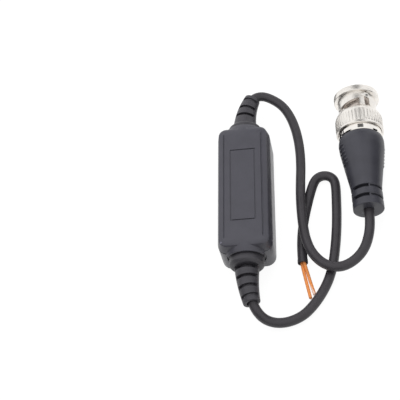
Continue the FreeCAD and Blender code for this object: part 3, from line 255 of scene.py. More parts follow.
class BalunStageSettings(bpy.types.PropertyGroup):
    """Floor, light and camera."""

    floor: bpy.props.FloatVectorProperty(
        name="Floor",
        description="Colour of the floor",
        subtype="COLOR",
        size=4,
        min=0.0,
        max=1.0,
        default=(0.6, 0.6, 0.6, 1.0),
    )
    world: bpy.props.FloatProperty(
        name="Room light",
        description="Strength of the even light from all round",
        min=0.0,
        max=2.0,
        default=0.64,
    )
    distance: bpy.props.FloatProperty(
        name="Camera distance",
        description="From the camera to the point that it looks at",
        subtype="DISTANCE",
        min=0.1,
        max=1.0,
        default=0.32,
    )


# Nodes and materials
class Signal:
    """A socket that reads as a number in a Python expression."""

    def __init__(self, nodes, socket):
        self.nodes = nodes
        self.socket = socket

    def beside(self, output):
        """Another output of the same node."""
        return Signal(self.nodes, self.socket.node.outputs[output])

    def joined(self, operation, first, second):
        return self.nodes.node("ShaderNodeMath", {"operation": operation}, {0: first, 1: second})

    def __add__(self, other):
        return self.joined("ADD", self, other)

    def __sub__(self, other):
        return self.joined("SUBTRACT", self, other)

    def __rsub__(self, other):
        return self.joined("SUBTRACT", other, self)

    def __mul__(self, other):
        return self.joined("MULTIPLY", self, other)

    __radd__ = __add__
    __rmul__ = __mul__


class Nodes:
    """An empty node tree, to which each call adds a node."""

    def __init__(self, tree):
        self.tree = tree
        tree.nodes.clear()

    def node(self, kind, settings=None, values=None, output=0):
        """Adds a node: its settings first, then the values or links of its sockets. An end has no output."""
        made = self.tree.nodes.new(kind)
        for key, value in (settings or {}).items():
            setattr(made, key, value)
        for key, value in (values or {}).items():
            self.feed(made.inputs[key], value)
        return Signal(self, made.outputs[output]) if made.outputs else None

    def feed(self, socket, value):
        if isinstance(value, Signal):
            self.tree.links.new(value.socket, socket)
        else:
            socket.default_value = value

    def seen(self):
        """1 for rays that show a surface, straight, mirrored or through glass, and 0 for spread light."""
        camera = self.node("ShaderNodeLightPath", output="Is Camera Ray")
        return camera + camera.beside("Is Glossy Ray") + camera.beside("Is Transmission Ray")


class Shade(Nodes):
    """One material's tree, with its object coordinates."""

    def __init__(self, name):
        self.material = bpy.data.materials.new(name)
        self.material.use_nodes = True
        super().__init__(self.material.node_tree)
        self.place = self.node("ShaderNodeTexCoord", output="Object")

    def surface(self, **values):
        """A surface shader; its sockets are named with spaces as underscores."""
        named = {key.replace("_", " "): value for key, value in values.items()}
        return self.node("ShaderNodeBsdfPrincipled", values=named)

    def shown(self, shader):
        """Ends the tree in a shader and gives the material."""
        self.node("ShaderNodeOutputMaterial", values={"Surface": shader})
        return self.material

    def finish(self, **values):
        return self.shown(self.surface(**values))

    def noise(self, size, detail=3.0, roughness=0.5):
        """Soft noise whose lumps are about size millimetres across."""
        values = {"Vector": self.place, "Scale": 1 / (size * MM), "Detail": detail, "Roughness": roughness}
        return self.node("ShaderNodeTexNoise", values=values)

    def mix(self, share, first, second):
        """Colours first and second, by share."""
        return self.node("ShaderNodeMix", {"data_type": "RGBA"}, {0: share, 6: first, 7: second}, output=2)

    def between(self, signal, low, high):
        """0 where the signal is low and 1 where it is high, with soft ends."""
        return self.node(
            "ShaderNodeMapRange",
            {"interpolation_type": "SMOOTHSTEP"},
            {"Value": signal, "From Min": low, "From Max": high},
        )

    def bump(self, height, depth):
        """A bump of depth millimetres."""
        return self.node("ShaderNodeBump", values={"Height": height, "Distance": depth * MM})

    def fleck(self, spot, radius):
        """1 at a spot on the piece and 0 beyond a radius, with an uneven edge."""
        reach = radius * MM
        away = self.node(
            "ShaderNodeVectorMath",
            {"operation": "DISTANCE"},
            {0: self.place, 1: tuple(part * MM for part in spot)},
            output=1,
        )
        return 1 - self.between(away + self.noise(0.3, 1.0) * (0.4 * reach), 0.5 * reach, reach)


def scaled(colour, share):
    return tuple(min(1.0, part * share) for part in colour[:3]) + (1.0,)


def moulded(name, colour, roughness, grain, depth, mottle=0.10, sheen_spots=()):
    """Moulded plastic or soft PVC: a fine spark-eroded grain over a slow change of shade, with painted
    highlights at any sheen spots.
    """
    shade = Shade(name)
    slow = shade.noise(4.0, 2.0)
    fine = shade.noise(grain, 2.0, 0.6)
    base = shade.mix(shade.between(slow, 0.3, 0.7), scaled(colour, 1 - mottle), scaled(colour, 1 + mottle))
    base = shade.mix(shade.between(fine, 0.52, 0.8) * 0.35, base, scaled(colour, 1.5))
    # Painted highlights: the colour is lightened fourfold round each sheen spot, where light would catch the
    # piece.
    if sheen_spots:
        painted_sheen = sum(shade.fleck(spot, radius) for spot, radius in sheen_spots)
        base = shade.mix(shade.between(painted_sheen, 0.0, 1.0), base, scaled(colour, 4.0))
    return shade.finish(
        Base_Color=base,
        Roughness=roughness + (slow - 0.5) * 0.16 + (fine - 0.5) * 0.10,
        Normal=shade.bump(fine, depth),
        IOR=1.46,
    )


def plated(name, colour, roughness, smudge=0.10):
    """Bright plate with faint handling marks and a fine turned grain."""
    shade = Shade(name)
    slow = shade.noise(3.0, 3.0)
    fine = shade.noise(0.12, 2.0)
    return shade.finish(
        Base_Color=shade.mix(shade.between(slow, 0.35, 0.75), colour, scaled(colour, 0.93)),
        Metallic=1.0,
        Roughness=roughness + shade.between(slow, 0.4, 0.8) * smudge + (fine - 0.5) * 0.06,
        Normal=shade.bump(fine, 0.004),
    )


STRIPE_PITCH, STRIPE_PHASE, STRIPE_HALF = 0.06, 0.5, 0.15


def insulated(name, colour, stripe=None):
    """Wire insulation; a stripe winds slowly round it, a share of a turn in each millimetre."""
    shade = Shade(name)
    slow = shade.noise(1.2, 2.0)
    base = shade.mix(slow, scaled(colour, 0.86), scaled(colour, 1.12))
    if stripe is not None:
        coordinates = shade.node("ShaderNodeTexCoord", output="UV")
        around = shade.node("ShaderNodeSeparateXYZ", values={0: coordinates})
        phase = around + around.beside(1) * STRIPE_PITCH - STRIPE_PHASE + (slow - 0.5) * 0.05
        turn = shade.node("ShaderNodeMath", {"operation": "FRACT"}, {0: phase})
        away = shade.node("ShaderNodeMath", {"operation": "ABSOLUTE"}, {0: turn - 0.5})
        band = 1 - shade.between(away, STRIPE_HALF - 0.02, STRIPE_HALF + 0.02)
        base = shade.mix(band, base, stripe)
    return shade.finish(
        Base_Color=base,
        Roughness=0.38 + (slow - 0.5) * 0.12,
        Normal=shade.bump(shade.noise(0.25, 2.0), 0.006),
    )


# Objects and meshes
def plain_object(name, data):
    made = bpy.data.objects.new(name, data)
    bpy.context.scene.collection.objects.link(made)
    return made


def mesh_object(name, work):
    mesh = bpy.data.meshes.new(name)
    work.to_mesh(mesh)
    work.free()
    return plain_object(name, mesh)


def crisp(work, degrees=32.0):
    """Smooth shading that breaks at edges sharper than an angle."""
    limit = math.radians(degrees)
    for face in work.faces:
        face.smooth = True
    for edge in work.edges:
        edge.smooth = len(edge.link_faces) == 2 and edge.calc_face_angle(0.0) < limit


def finished(name, work, place=Matrix()):
    """A closed piece from work in millimetres, put in place."""
    bmesh.ops.remove_doubles(work, verts=work.verts, dist=1e-4)
    bmesh.ops.recalc_face_normals(work, faces=work.faces)
    crisp(work)
    piece = mesh_object(name, work)
    piece.data.transform(Matrix.Scale(MM, 4) @ place)
    return piece


def shaded_again(piece, degrees=32.0):
    work = bmesh.new()
    work.from_mesh(piece.data)
    crisp(work, degrees)
    work.to_mesh(piece.data)
    work.free()


def stood(piece, place, degrees=32.0):
    """Moves a piece that is drawn about its own axis to its place."""
    piece.data.transform(Matrix.Scale(MM, 4) @ place @ Matrix.Scale(1 / MM, 4))
    shaded_again(piece, degrees)


def settled(piece):
    """Applies what the piece's modifiers make, and leaves a plain mesh."""
    graph = bpy.context.evaluated_depsgraph_get()
    mesh = bpy.data.meshes.new_from_object(piece.evaluated_get(graph), depsgraph=graph)
    if not mesh.polygons:
        raise RuntimeError(f"{piece.name}: its modifiers leave nothing")
    piece.modifiers.clear()
    piece.data = mesh
    return piece


def as_tool(shape):
    """A tool in millimetres, from work or from a tool that is already one."""
    if isinstance(shape, bpy.types.Object):
        return shape
    bmesh.ops.recalc_face_normals(shape, faces=shape.faces)
    return mesh_object("tool", shape)


def carved(piece, shape, operation="DIFFERENCE", place=Matrix()):
    """Takes a shape in millimetres out of the piece, or joins it on."""
    tool = as_tool(shape)
    tool.data.transform(Matrix.Scale(MM, 4) @ place)
    step = piece.modifiers.new("carve", "BOOLEAN")
    step.operation = operation
    step.solver = "EXACT"
    step.object = tool
    settled(piece)
    bpy.data.objects.remove(tool)


def dress(piece, material, slot, body, *nodes):
    """Gives a piece its finish and its place in the frame, and hides the CAD nodes that it stands for."""
    piece.data.materials.clear()
    piece.data.materials.append(material)
    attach(piece, body)
    if nodes:
        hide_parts(*nodes)


def coat(material, *nodes):
    """Gives CAD nodes that stay as they are a finish."""
    for node in nodes:
        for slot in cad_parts[node].material_slots:
            slot.material = material


# Shapes
def eased(profile, steps=3):
    """Rounds the corners of a profile that have a rounding."""
    count = len(profile)
    points = []
    for index, corner in enumerate(profile):
        here = Vector(corner[:2])
        if len(corner) < 3 or index in (0, count - 1):
            points.append(here)
            continue
        before = Vector(profile[index - 1][:2]) - here
        after = Vector(profile[index + 1][:2]) - here
        reach = min(corner[2], 0.45 * before.length, 0.45 * after.length)
        start = here + before.normalized() * reach
        end = here + after.normalized() * reach
        for step in range(steps + 1):
            share = step / steps
            points.append(start * (1 - share) ** 2 + here * 2 * share * (1 - share) + end * share**2)
    return points


def skinned(rings, loop=False, capped=True):
    """Joins rings of equally many points; the last meets the first in a loop, and else both are capped."""
    work = bmesh.new()
    rows = [[work.verts.new(point) for point in ring] for ring in rings]
    count = len(rows[0])
    pairs = list(zip(rows, rows[1:]))
    if loop:
        pairs.append((rows[-1], rows[0]))
    for low, high in pairs:
        for number in range(count):
            following = (number + 1) % count
            work.faces.new((low[number], low[following], high[following], high[number]))
    if capped and not loop:
        work.faces.new(list(reversed(rows[0])))
        work.faces.new(rows[-1])
    return work


def turned(profile, segments=96, ring=False, bend=None):
    """A profile turned about local Z; a ring's profile closes on itself, and else it ends on the axis."""
    angles = [math.tau * number / segments for number in range(segments)]
    rings = [
        [Vector((radius * math.cos(angle), radius * math.sin(angle), along)) for angle in angles]
        for radius, along in profile
    ]
    work = skinned(rings, loop=ring, capped=False)
    bmesh.ops.remove_doubles(work, verts=work.verts, dist=1e-6)
    if bend is not None:
        for vertex in work.verts:
            vertex.co = bend(vertex.co)
    return work


def section(angle, inner, outer, low, high):
    """The corners of a ring's section at an angle round local Z."""
    turn = Vector((math.cos(angle), math.sin(angle), 0))
    corners = ((inner, low), (outer, low), (outer, high), (inner, high))
    return [turn * radius + Vector((0, 0, height)) for radius, height in corners]


def ring_piece(inner, outer, low, high, sweep, steps=16):
    """A closed piece of a ring, centred on local +X."""
    angles = [math.radians(sweep) * (step / steps - 0.5) for step in range(steps + 1)]
    return skinned([section(angle, inner, outer, low, high) for angle in angles])


def prism(corners, low, high):
    """A flat outline drawn up from one height to another."""
    return skinned([[Vector((x, y, height)) for x, y in corners] for height in (low, high)])


def reading(table, place):
    """The value at a place in a table of (place, value), on straight lines between its rows."""
    for (low, first), (high, second) in zip(table, table[1:]):
        if place <= high:
            return first + (second - first) * max(0.0, place - low) / (high - low)
    return table[-1][1]


def smoothed(table, place, reach):
    """A reading averaged over the places nearby, which rounds the table's corners."""
    shares = {offset: 5 - abs(offset) for offset in range(-4, 5)}
    total = sum(share * reading(table, place + offset * reach / 4) for offset, share in shares.items())
    return total / sum(shares.values())


def line_through(name, points):
    """A curve of straight runs in millimetres, for what repeats along it."""
    curve = bpy.data.curves.new(name, "CURVE")
    curve.dimensions = "3D"
    spline = curve.splines.new("POLY")
    spline.points.add(len(points) - 1)
    for spot, point in zip(spline.points, points):
        spot.co = (*point, 1)
    return plain_object(name, curve)


# Geometry Nodes: copies of a tool round an axis, and along a path
SHARED_SOCKETS = [
    ("Tool", "Geometry"),
    ("Copies", "Int"),
    ("Step", "Float"),
    ("First", "Float"),
    ("Material", "Material"),
]


def copies_tree(name, sockets, lay_out):
    """A tree that copies a tool; lay_out turns how far on a copy is into its rotation and its position."""
    tree = bpy.data.node_groups.new(name, "GeometryNodeTree")
    tree.interface.new_socket(name="Geometry", in_out="OUTPUT", socket_type="NodeSocketGeometry")
    for label, kind in SHARED_SOCKETS + sockets:
        tree.interface.new_socket(name=label, in_out="INPUT", socket_type=f"NodeSocket{kind}")
    nodes = Nodes(tree)
    given = nodes.node("NodeGroupInput", output="Tool")
    index = nodes.node("GeometryNodeInputIndex")
    rotation, position = lay_out(nodes, given, index * given.beside("Step") + given.beside("First"))
    places = {"Count": given.beside("Copies"), "Position": position}
    points = nodes.node("GeometryNodePoints", values=places)
    copies = nodes.node(
        "GeometryNodeInstanceOnPoints",
        values={"Points": points, "Instance": given, "Rotation": rotation},
    )
    real = nodes.node("GeometryNodeRealizeInstances", values={"Geometry": copies})
    coated = nodes.node(
        "GeometryNodeSetMaterial",
        values={"Geometry": real, "Material": given.beside("Material")},
    )
    nodes.node("NodeGroupOutput", values={"Geometry": coated})
    return tree


def round_axis(nodes, given, angle):
    turn = nodes.node("ShaderNodeCombineXYZ", values={"Z": angle})
    return nodes.node("FunctionNodeEulerToRotation", values={0: turn}), (0, 0, 0)


def along_path(nodes, given, reach):
    path = nodes.node("GeometryNodeObjectInfo", values={"Object": given.beside("Path")}, output="Geometry")
    position = nodes.node(
        "GeometryNodeSampleCurve",
        {"mode": "LENGTH", "use_all_curves": True},
        {"Curves": path, "Length": reach},
        output="Position",
    )
    heading = {"Vector": position.beside("Tangent")}
    return nodes.node("FunctionNodeAlignRotationToVector", {"axis": "Z"}, heading), position


ROUND_AXIS = copies_tree("Copies round an axis", [], round_axis)
ALONG_PATH = copies_tree("Copies along a path", [("Path", "Object")], along_path)


def copied(shape, tree, **inputs):
    """Runs a tree on a shape and leaves a plain mesh."""
    tool = as_tool(shape)
    step = tool.modifiers.new("copies", "NODES")
    step.node_group = tree
    for item in tree.interface.items_tree:
        if item.in_out == "INPUT" and item.name in inputs:
            step[item.identifier] = inputs[item.name]
    return settled(tool)


def copies_round(shape, count, step, first=0.0):
    """Copies round local Z, from an angle on and a step apart, both in degrees."""
    return copied(shape, ROUND_AXIS, Copies=count, Step=math.radians(step), First=math.radians(first))


def copies_along(shape, path, count, step, first):
    return copied(shape, ALONG_PATH, Path=path, Copies=count, Step=step, First=first)


# Housing
BACK_ROUNDING = 0.9
LIP_INSET, LIP_HEIGHT, LIP_GAP = 0.9, 0.8, 0.1
# Painted highlights on the housing's edges and corners: the places in millimetres and radii of bright spots
HOUSING_SHEEN_SPOTS = [((7.9, -11.0, 10.6), 0.42), ((7.85, -18.0, 10.8), 0.5), ((-6.5, -18.95, 13.3), 0.7)]

# The hole, the sunk ring and the flange seat at a cable entry
ENTRY_PROFILE = [
    (0, -2.75),
    (4.75, -2.75),
    (4.75, -1.5),
    (4.1, -1.5),
    (4.1, -0.5),
    (5.75, -0.5),
    (5.75, 1.9),
    (0, 1.9),
]

# Front cover, by height: insets of its sides and ends, corner radius, and the heights that are drawn
COVER_SIDE = [(10.0, 0.0), (10.4, 0.0), (13.4, 0.7), (14.0, 2.1)]
COVER_END = [(10.0, 0.0), (10.4, 0.0), (13.2, 0.65), (13.7, 1.05), (14.0, 2.1)]
COVER_CORNER = [(10.0, 3.0), (10.4, 3.0), (13.2, 2.35), (13.7, 1.72), (14.0, 1.1)]
COVER_TABLES = (COVER_SIDE, COVER_END, COVER_CORNER)
COVER_HEIGHTS = [10.4, 11.4, 12.4] + [12.9 + 0.08 * step for step in range(9)] + [13.62, 13.7, 13.78, 13.86]
COVER_EASE = 0.24

# Inside of the front cover: insets by height, from its roof down to the rebate for the rear shell's lip
COVER_ROOM = [
    (CASE_WALL + 0.75, CASE_DEPTH - CASE_WALL),
    (CASE_WALL + 0.27, SEAM_HEIGHT + LIP_HEIGHT + LIP_GAP),
    (LIP_INSET - LIP_GAP, SEAM_HEIGHT + LIP_HEIGHT + LIP_GAP),
    (LIP_INSET - LIP_GAP, SEAM_HEIGHT - 1),
]

# Hood over a cable entry: its radius by the distance past the end wall
HOOD_RADII = [
    (-3.2, 6.97),
    (-2.1, 6.96),
    (-1.2, 6.8),
    (-0.4, 6.56),
    (0.72, 6.24),
    (0.84, 6.18),
    (0.9, 6.06),
]
HOOD_STEPS = 48

# Creases beside the flat field: distance from the middle, section, and depth by the place along the case
CREASE_ACROSS = 5.65
CREASE_SECTION = [(-0.09, -0.26), (0.09, -0.26), (0.26, 0.1), (-0.26, 0.1)]
CREASE_DEPTHS = [(-17.9, 0.3), (-17.4, 1.0), (17.4, 1.0), (17.9, 0.3)]

# Engraved frame on the cover: half sizes outside, width of its line and depth
FIELD_HALF, FIELD_LINE, FIELD_DEPTH = (3.8, 12.3), 0.4, 0.25


def rounded_outline(inset, height, end_inset=None, radius=None, steps=6):
    """Points round the housing's outline, moved in from its sides and from its ends."""
    end_inset = inset if end_inset is None else end_inset
    radius = CASE_CORNER - inset if radius is None else radius
    across, along = CASE_WIDTH / 2 - inset - radius, CASE_LENGTH / 2 - end_inset - radius
    points = []
    for number, (side, end) in enumerate(((1, -1), (1, 1), (-1, 1), (-1, -1))):
        for step in range(steps + 1):
            angle = math.pi / 2 * (number - 1 + step / steps)
            x = side * across + radius * math.cos(angle)
            y = end * along + radius * math.sin(angle)
            points.append(Vector((x, y, height)))
    return points


def rear_rings(edge):
    """Outlines up the rear shell's outside, over its lip and down inside."""
    rings = []
    for step in range(6):
        angle = math.pi / 2 * step / 5
        rings.append((BACK_ROUNDING * (1 - math.sin(angle)), BACK_ROUNDING * (1 - math.cos(angle))))
    rings += [
        (0.0, SEAM_HEIGHT - edge),
        (edge, SEAM_HEIGHT),
        (LIP_INSET, SEAM_HEIGHT),
        (LIP_INSET, SEAM_HEIGHT + LIP_HEIGHT),
        (CASE_WALL, SEAM_HEIGHT + LIP_HEIGHT),
        (CASE_WALL, CASE_WALL),
    ]
    return [rounded_outline(*ring) for ring in rings]


def cover_rings(edge):
    """Outlines up the front cover's outside: steep sides, a round shoulder and a shallow strip."""
    rings = [rounded_outline(edge, SEAM_HEIGHT)]
    for height in [SEAM_HEIGHT + edge] + COVER_HEIGHTS:
        side, end, corner = (smoothed(table, height, COVER_EASE) for table in COVER_TABLES)
        rings.append(rounded_outline(side, height, end, corner))
    rings.append(rounded_outline(2.0, CASE_DEPTH - 0.05, radius=1.16))
    rings.append(rounded_outline(2.28, CASE_DEPTH, radius=1.0))
    return rings


def hood_rings(way):
    """Half-round outlines from over the cover to past the end wall."""
    rings = []
    for out, radius in HOOD_RADII:
        low = math.asin((SEAM_HEIGHT + 0.02 - AXIS_HEIGHT) / radius)
        place = way * (CASE_LENGTH / 2 + out)
        ring = []
        for step in range(HOOD_STEPS + 1):
            angle = low + (math.pi - 2 * low) * step / HOOD_STEPS
            ring.append(Vector((radius * math.cos(angle), place, AXIS_HEIGHT + radius * math.sin(angle))))
        rings.append(ring)
    return rings


def crease_rings(across):
    """Sections along a fine groove that runs out at both ends."""
    rings = []
    for place, share in CREASE_DEPTHS:
        heights = [(x, z if z > 0 else z * share) for x, z in CREASE_SECTION]
        rings.append([Vector((across + x, place, CASE_DEPTH + z)) for x, z in heights])
    return rings


def field_rings():
    """Sections at the corners of the engraved frame."""
    inner = tuple(half - FIELD_LINE for half in FIELD_HALF)
    low, high = CASE_DEPTH - FIELD_DEPTH, CASE_DEPTH + 1
    rings = []
    for side, end in ((1, 1), (-1, 1), (-1, -1), (1, -1)):
        corners = ((inner, low), (FIELD_HALF, low), (FIELD_HALF, high), (inner, high))
        rings.append([Vector((side * half[0], end * half[1], height)) for half, height in corners])
    return rings


def open_entries(shell):
    for place in (COAX_PLACE, PAIR_PLACE):
        carved(shell, turned(ENTRY_PROFILE), place=place)


class BALUN_OT_housing(bpy.types.Operator):
    """Builds the two shells of the housing."""

    bl_idname = "balun.housing"
    bl_label = "Housing"

    def execute(self, context):
        settings = context.scene.balun_housing
        edge = settings.edge / MM
        plastic = moulded("housing_plastic", settings.plastic, 0.34, 0.16, 0.010, 0.05, HOUSING_SHEEN_SPOTS)
        rear = finished("housing_back", skinned(rear_rings(edge)))
        open_entries(rear)
        shaded_again(rear)
        dress(rear, plastic, "housing", "balun", "rear_shell")

        front = finished("housing_front", skinned(cover_rings(edge)))
        for way in (1, -1):
            carved(front, skinned(hood_rings(way)), "UNION")
        carved(front, skinned([rounded_outline(*ring) for ring in COVER_ROOM]))
        open_entries(front)
        carved(front, skinned(field_rings(), loop=True))
        for side in (-1, 1):
            carved(front, skinned(crease_rings(side * CREASE_ACROSS)))
        shaded_again(front, 28)
        dress(front, plastic, "housing", "balun", "front_cover")
        return {"FINISHED"}


# Strain reliefs: a straight collar, and a cone that leans over to its tip
COLLAR, CONE = 3.4, 11.3
CONE_START, CONE_TIP, CONE_ROWS = 3.65, 2.5, 24
RELIEF_TIP = COLLAR + CONE
RELIEF_BORE, BORE_DEPTH = 1.5, 1.6
AXIS_STEPS = 40

# Name, node, lean and turn of the slots in degrees, the side with no first slot, and the place
RELIEFS = [
    ("coax_strain_relief", "coax_relief", 26.0, -4.0, -90, COAX_PLACE),
    ("pair_strain_relief", "pair_relief", 13.0, 4.0, None, PAIR_PLACE),
]

# Slots on each side of a cone: half width, number, and where the first lies
SLOT_ROWS = [(0.65, 1, 0.65), (0.5, 3, 3.65)]
SLOT_PITCH, SLOT_SWEEP, SLOT_FLOOR = 3.0, 136.0, 2.2


def bend_of(lean):
    """The bend of a relief whose tip leans over by an angle: straight in the collar, an arc in the cone."""

    def bend(point):
        along = point.z - COLLAR
        if along <= 0:
            return point
        angle = math.radians(lean) * along / CONE
        curve = CONE / math.radians(lean)
        centre = Vector((curve * (1 - math.cos(angle)), 0, COLLAR + curve * math.sin(angle)))
        sideways = Vector((math.cos(angle), 0, -math.sin(angle)))
        return centre + sideways * point.x + Vector((0, point.y, 0))

    return bend


def relief_profile():
    """A relief's section: the flange inside the case, the neck, the collar, the cone and the bore."""
    profile = [
        (0, -2.7),
        (4.7, -2.7),
        (4.7, -1.5),
        (4.1, -1.5),
        (4.1, -0.5),
        (5.15, -0.5),
        (5.15, COLLAR - 0.8, 0.3),
        (4.35, COLLAR, 0.3),
        (3.75, COLLAR, 0.1),
    ]
    for row in range(1, CONE_ROWS):
        share = row / CONE_ROWS
        profile.append((CONE_START + share * (CONE_TIP - CONE_START), COLLAR + share * CONE))
    return profile + [
        (CONE_TIP, RELIEF_TIP, 0.5),
        (RELIEF_BORE, RELIEF_TIP, 0.15),
        (RELIEF_BORE, RELIEF_TIP - BORE_DEPTH),
        (0, RELIEF_TIP - BORE_DEPTH),
    ]


class BALUN_OT_reliefs(bpy.types.Operator):
    """Builds the ribbed strain reliefs at both ends."""

    bl_idname = "balun.reliefs"
    bl_label = "Strain reliefs"

    def execute(self, context):
        rubber = moulded("relief_rubber", context.scene.balun_housing.relief, 0.46, 0.2, 0.012, 0.08)
        for name, node, lean, skew, plain_side, place in RELIEFS:
            bend = bend_of(lean)
            relief = finished(name, turned(eased(relief_profile()), bend=bend))
            heights = [COLLAR + CONE * step / AXIS_STEPS for step in range(AXIS_STEPS + 1)]
            axis = line_through("axis", [bend(Vector((0, 0, height))) for height in heights])
            for side in (90, -90):
                rows = SLOT_ROWS[1:] if side == plain_side else SLOT_ROWS
                for half, count, first in rows:
                    slot = ring_piece(SLOT_FLOOR, 4.1, -half, half, SLOT_SWEEP, 28)
                    slot.transform(Matrix.Rotation(math.radians(side + skew), 4, "Z"))
                    carved(relief, copies_along(slot, axis, count, SLOT_PITCH, first))
            bpy.data.objects.remove(axis)
            stood(relief, place)
            dress(relief, rubber, "relief", "balun", node)
        return {"FINISHED"}


# Leads: the lip where the pair's jacket ends, how much of a wire its core is, and how far it stands out
JACKET_LIP = [(1.0, -0.9), (1.0, 0.30), (1.5, 0.36, 0.12), (1.52, -0.2), (1.5, -0.9)]
CORE_SHARE, CORE_LENGTH = 0.5, 0.25


def route_curve(name, route, radius):
    """A smooth curve whose control points are the route's, in metres."""
    curve = bpy.data.curves.new(name, "CURVE")
    curve.dimensions = "3D"
    spline = curve.splines.new("NURBS")
    spline.points.add(len(route) - 1)
    for point, spot in zip(spline.points, route):
        point.co = (*(part * MM for part in spot), 1)
    spline.order_u = 3
    spline.use_endpoint_u = True
    spline.resolution_u = 12
    curve.bevel_depth = radius
    curve.bevel_resolution = 8
    curve.use_fill_caps = True
    return plain_object(name, curve)


def line_of(route):
    """Points along a route's smooth curve."""
    guide = route_curve("guide", route, 0.0)
    graph = bpy.context.evaluated_depsgraph_get()
    mesh = bpy.data.meshes.new_from_object(guide.evaluated_get(graph), depsgraph=graph)
    points = [vertex.co.copy() for vertex in mesh.vertices]
    bpy.data.objects.remove(guide)
    return points


def wire_mesh(name, route, radius, segments=24):
    """An insulated wire along its route, with UVs round and along it, and its bare core at the cut end."""
    points = line_of(route)
    sideways = Vector((1, 0, 0))
    rings, along = [], [0.0]
    for index, point in enumerate(points):
        before, after = points[max(index - 1, 0)], points[min(index + 1, len(points) - 1)]
        heading = (after - before).normalized()
        sideways = (sideways - heading * sideways.dot(heading)).normalized()
        upward = heading.cross(sideways)
        ring = []
        for number in range(segments):
            angle = math.tau * number / segments
            ring.append(point + (sideways * math.cos(angle) + upward * math.sin(angle)) * radius)
        rings.append(ring)
        if index:
            along.append(along[-1] + (point - before).length)
    end = points[-1]
    heading = (end - points[-2]).normalized()
    core = [end + (spot - end) * CORE_SHARE for spot in rings[-1]]
    nose = [spot + heading * CORE_LENGTH * MM for spot in core]

    work = skinned(rings + [core, nose])
    uv = work.loops.layers.uv.new("UVMap")
    faces = list(work.faces)
    for number, face in enumerate(faces[: (len(rings) - 1) * segments]):
        row, column = divmod(number, segments)
        corners = ((column, row), (column + 1, row), (column + 1, row + 1), (column, row + 1))
        for loop, (turn, reached) in zip(face.loops, corners):
            loop[uv].uv = (turn / segments, along[reached] / MM)
    core_faces = faces[len(rings) * segments : (len(rings) + 1) * segments]
    for face in core_faces + faces[-1:]:
        face.material_index = 1
    bmesh.ops.recalc_face_normals(work, faces=work.faces)
    crisp(work)
    return mesh_object(name, work)


class BALUN_OT_leads(bpy.types.Operator):
    """Builds both leads and the pair's wires."""

    bl_idname = "balun.leads"
    bl_label = "Leads"

    def execute(self, context):
        settings = context.scene.balun_leads
        jacket = moulded("jacket_pvc", settings.jacket, 0.40, 0.22, 0.008)
        orange = insulated("orange_insulation", settings.insulation)
        striped = insulated("striped_insulation", settings.insulation, (0.86, 0.62, 0.50, 1.0))
        copper = plated("bare_copper", (0.72, 0.36, 0.20, 1.0), 0.28)

        coax = route_curve("coax_lead", COAX_ROUTE, settings.diameter / 2)
        dress(coax, jacket, "cable_jacket", "balun", "coax_cable")
        pair = route_curve("pair_lead", PAIR_ROUTE, settings.diameter / 2)
        dress(pair, jacket, "cable_jacket", "balun", "pair_cable")

        for name, node, route, finish in (
            ("orange_wire", "wire_orange", ORANGE_ROUTE, orange),
            ("striped_wire", "wire_orange_white", STRIPED_ROUTE, striped),
        ):
            wire = wire_mesh(name, route, settings.wire / 2)
            dress(wire, finish, node, "balun", node)
            wire.data.materials.append(copper)

        end = Vector(PAIR_ROUTE[-1])
        heading = (end - Vector(PAIR_ROUTE[-2])).normalized()
        turn = heading.to_track_quat("Z", "Y").to_matrix().to_4x4()
        lip = turned(eased(JACKET_LIP, 2), 48, ring=True)
        mouth = finished("jacket_mouth", lip, Matrix.Translation(end) @ turn)
        dress(mouth, jacket, "cable_jacket", "balun")

        return {"FINISHED"}


# Coupling nut: the flange, the tube, the cone and the grip outside, and the seats inside
NUT_OUTSIDE = [
    (5.35, 0.0),
    (6.9, 0.0, 0.35),
    (6.9, 2.0, 0.2),
    (5.75, 2.0, 0.15),
    (5.75, 4.2),
    (5.75, 6.5, 0.6),
    (6.8, 8.2, 0.5),
    (7.05, 8.9, 0.1),
    (7.05, 13.1, 0.1),
    (7.15, 13.2, 0.12),
    (7.15, 14.0, 0.3),
]
NUT_INSIDE = [
    (6.62, 14.0),
    (6.62, 12.85),
    (4.35, 12.85),
    (4.35, 11.35),
    (5.9, 11.35),
    (5.9, 8.9),
    (4.9, 8.3),
    (4.9, 0.45),
]
NUT_SEGMENTS = 176

# A knurl ridge: its height along the nut, the share of it across, and its foot inside the nut
KNURL_RADIUS, KNURL_FOOT = 7.05, -0.35
KNURL_HEIGHTS = [(8.8, -0.3), (9.1, 0.05), (9.5, 0.15), (12.8, 0.15), (13.05, 0.08), (13.3, -0.3)]
KNURL_SHARES = [(-0.36, -1.0), (-0.3, 0.35), (-0.14, 0.9), (0.14, 0.9), (0.3, 0.35), (0.36, -1.0)]

# Cuts through the nut's tube reach from inside its bore to outside its wall
CUT_INNER, CUT_OUTER = 4.4, 7.4

# A cam slot: its middle at the entry, its climb, its sweep in degrees, its half widths at both ends, and
# the radius from the nut's axis at which its end is round
CAM_START, CAM_RISE, CAM_SWEEP = 5.96, 0.42, 63.0
CAM_ENTRY_HALF, CAM_END_HALF, CAM_RADIUS = 1.8, 1.0, 5.4

# Stud windows, entry tracks inside the lip, and the rounded bridges between tracks and windows
WINDOW_CORNERS = [(CUT_INNER, -0.8), (CUT_OUTER, -0.9), (CUT_OUTER, 0.9), (CUT_INNER, 0.8)]
WINDOW_LOW, WINDOW_HIGH = 3.85, 7.2
TRACK_OUTER, TRACK_DEPTH, TRACK_SWEEP = 5.5, 5.0, 30.0
BRIDGE_PLACE, BRIDGE_SHAPE = (5.62, 0, 3.0), (0.8, 1.4, 0.85, 1.0)

# Angles of the first window, of the first track and of the first cam slot's entry
WINDOW_ANGLE, TRACK_ANGLE, CAM_ANGLE = 57.5, 62.5, 80.5

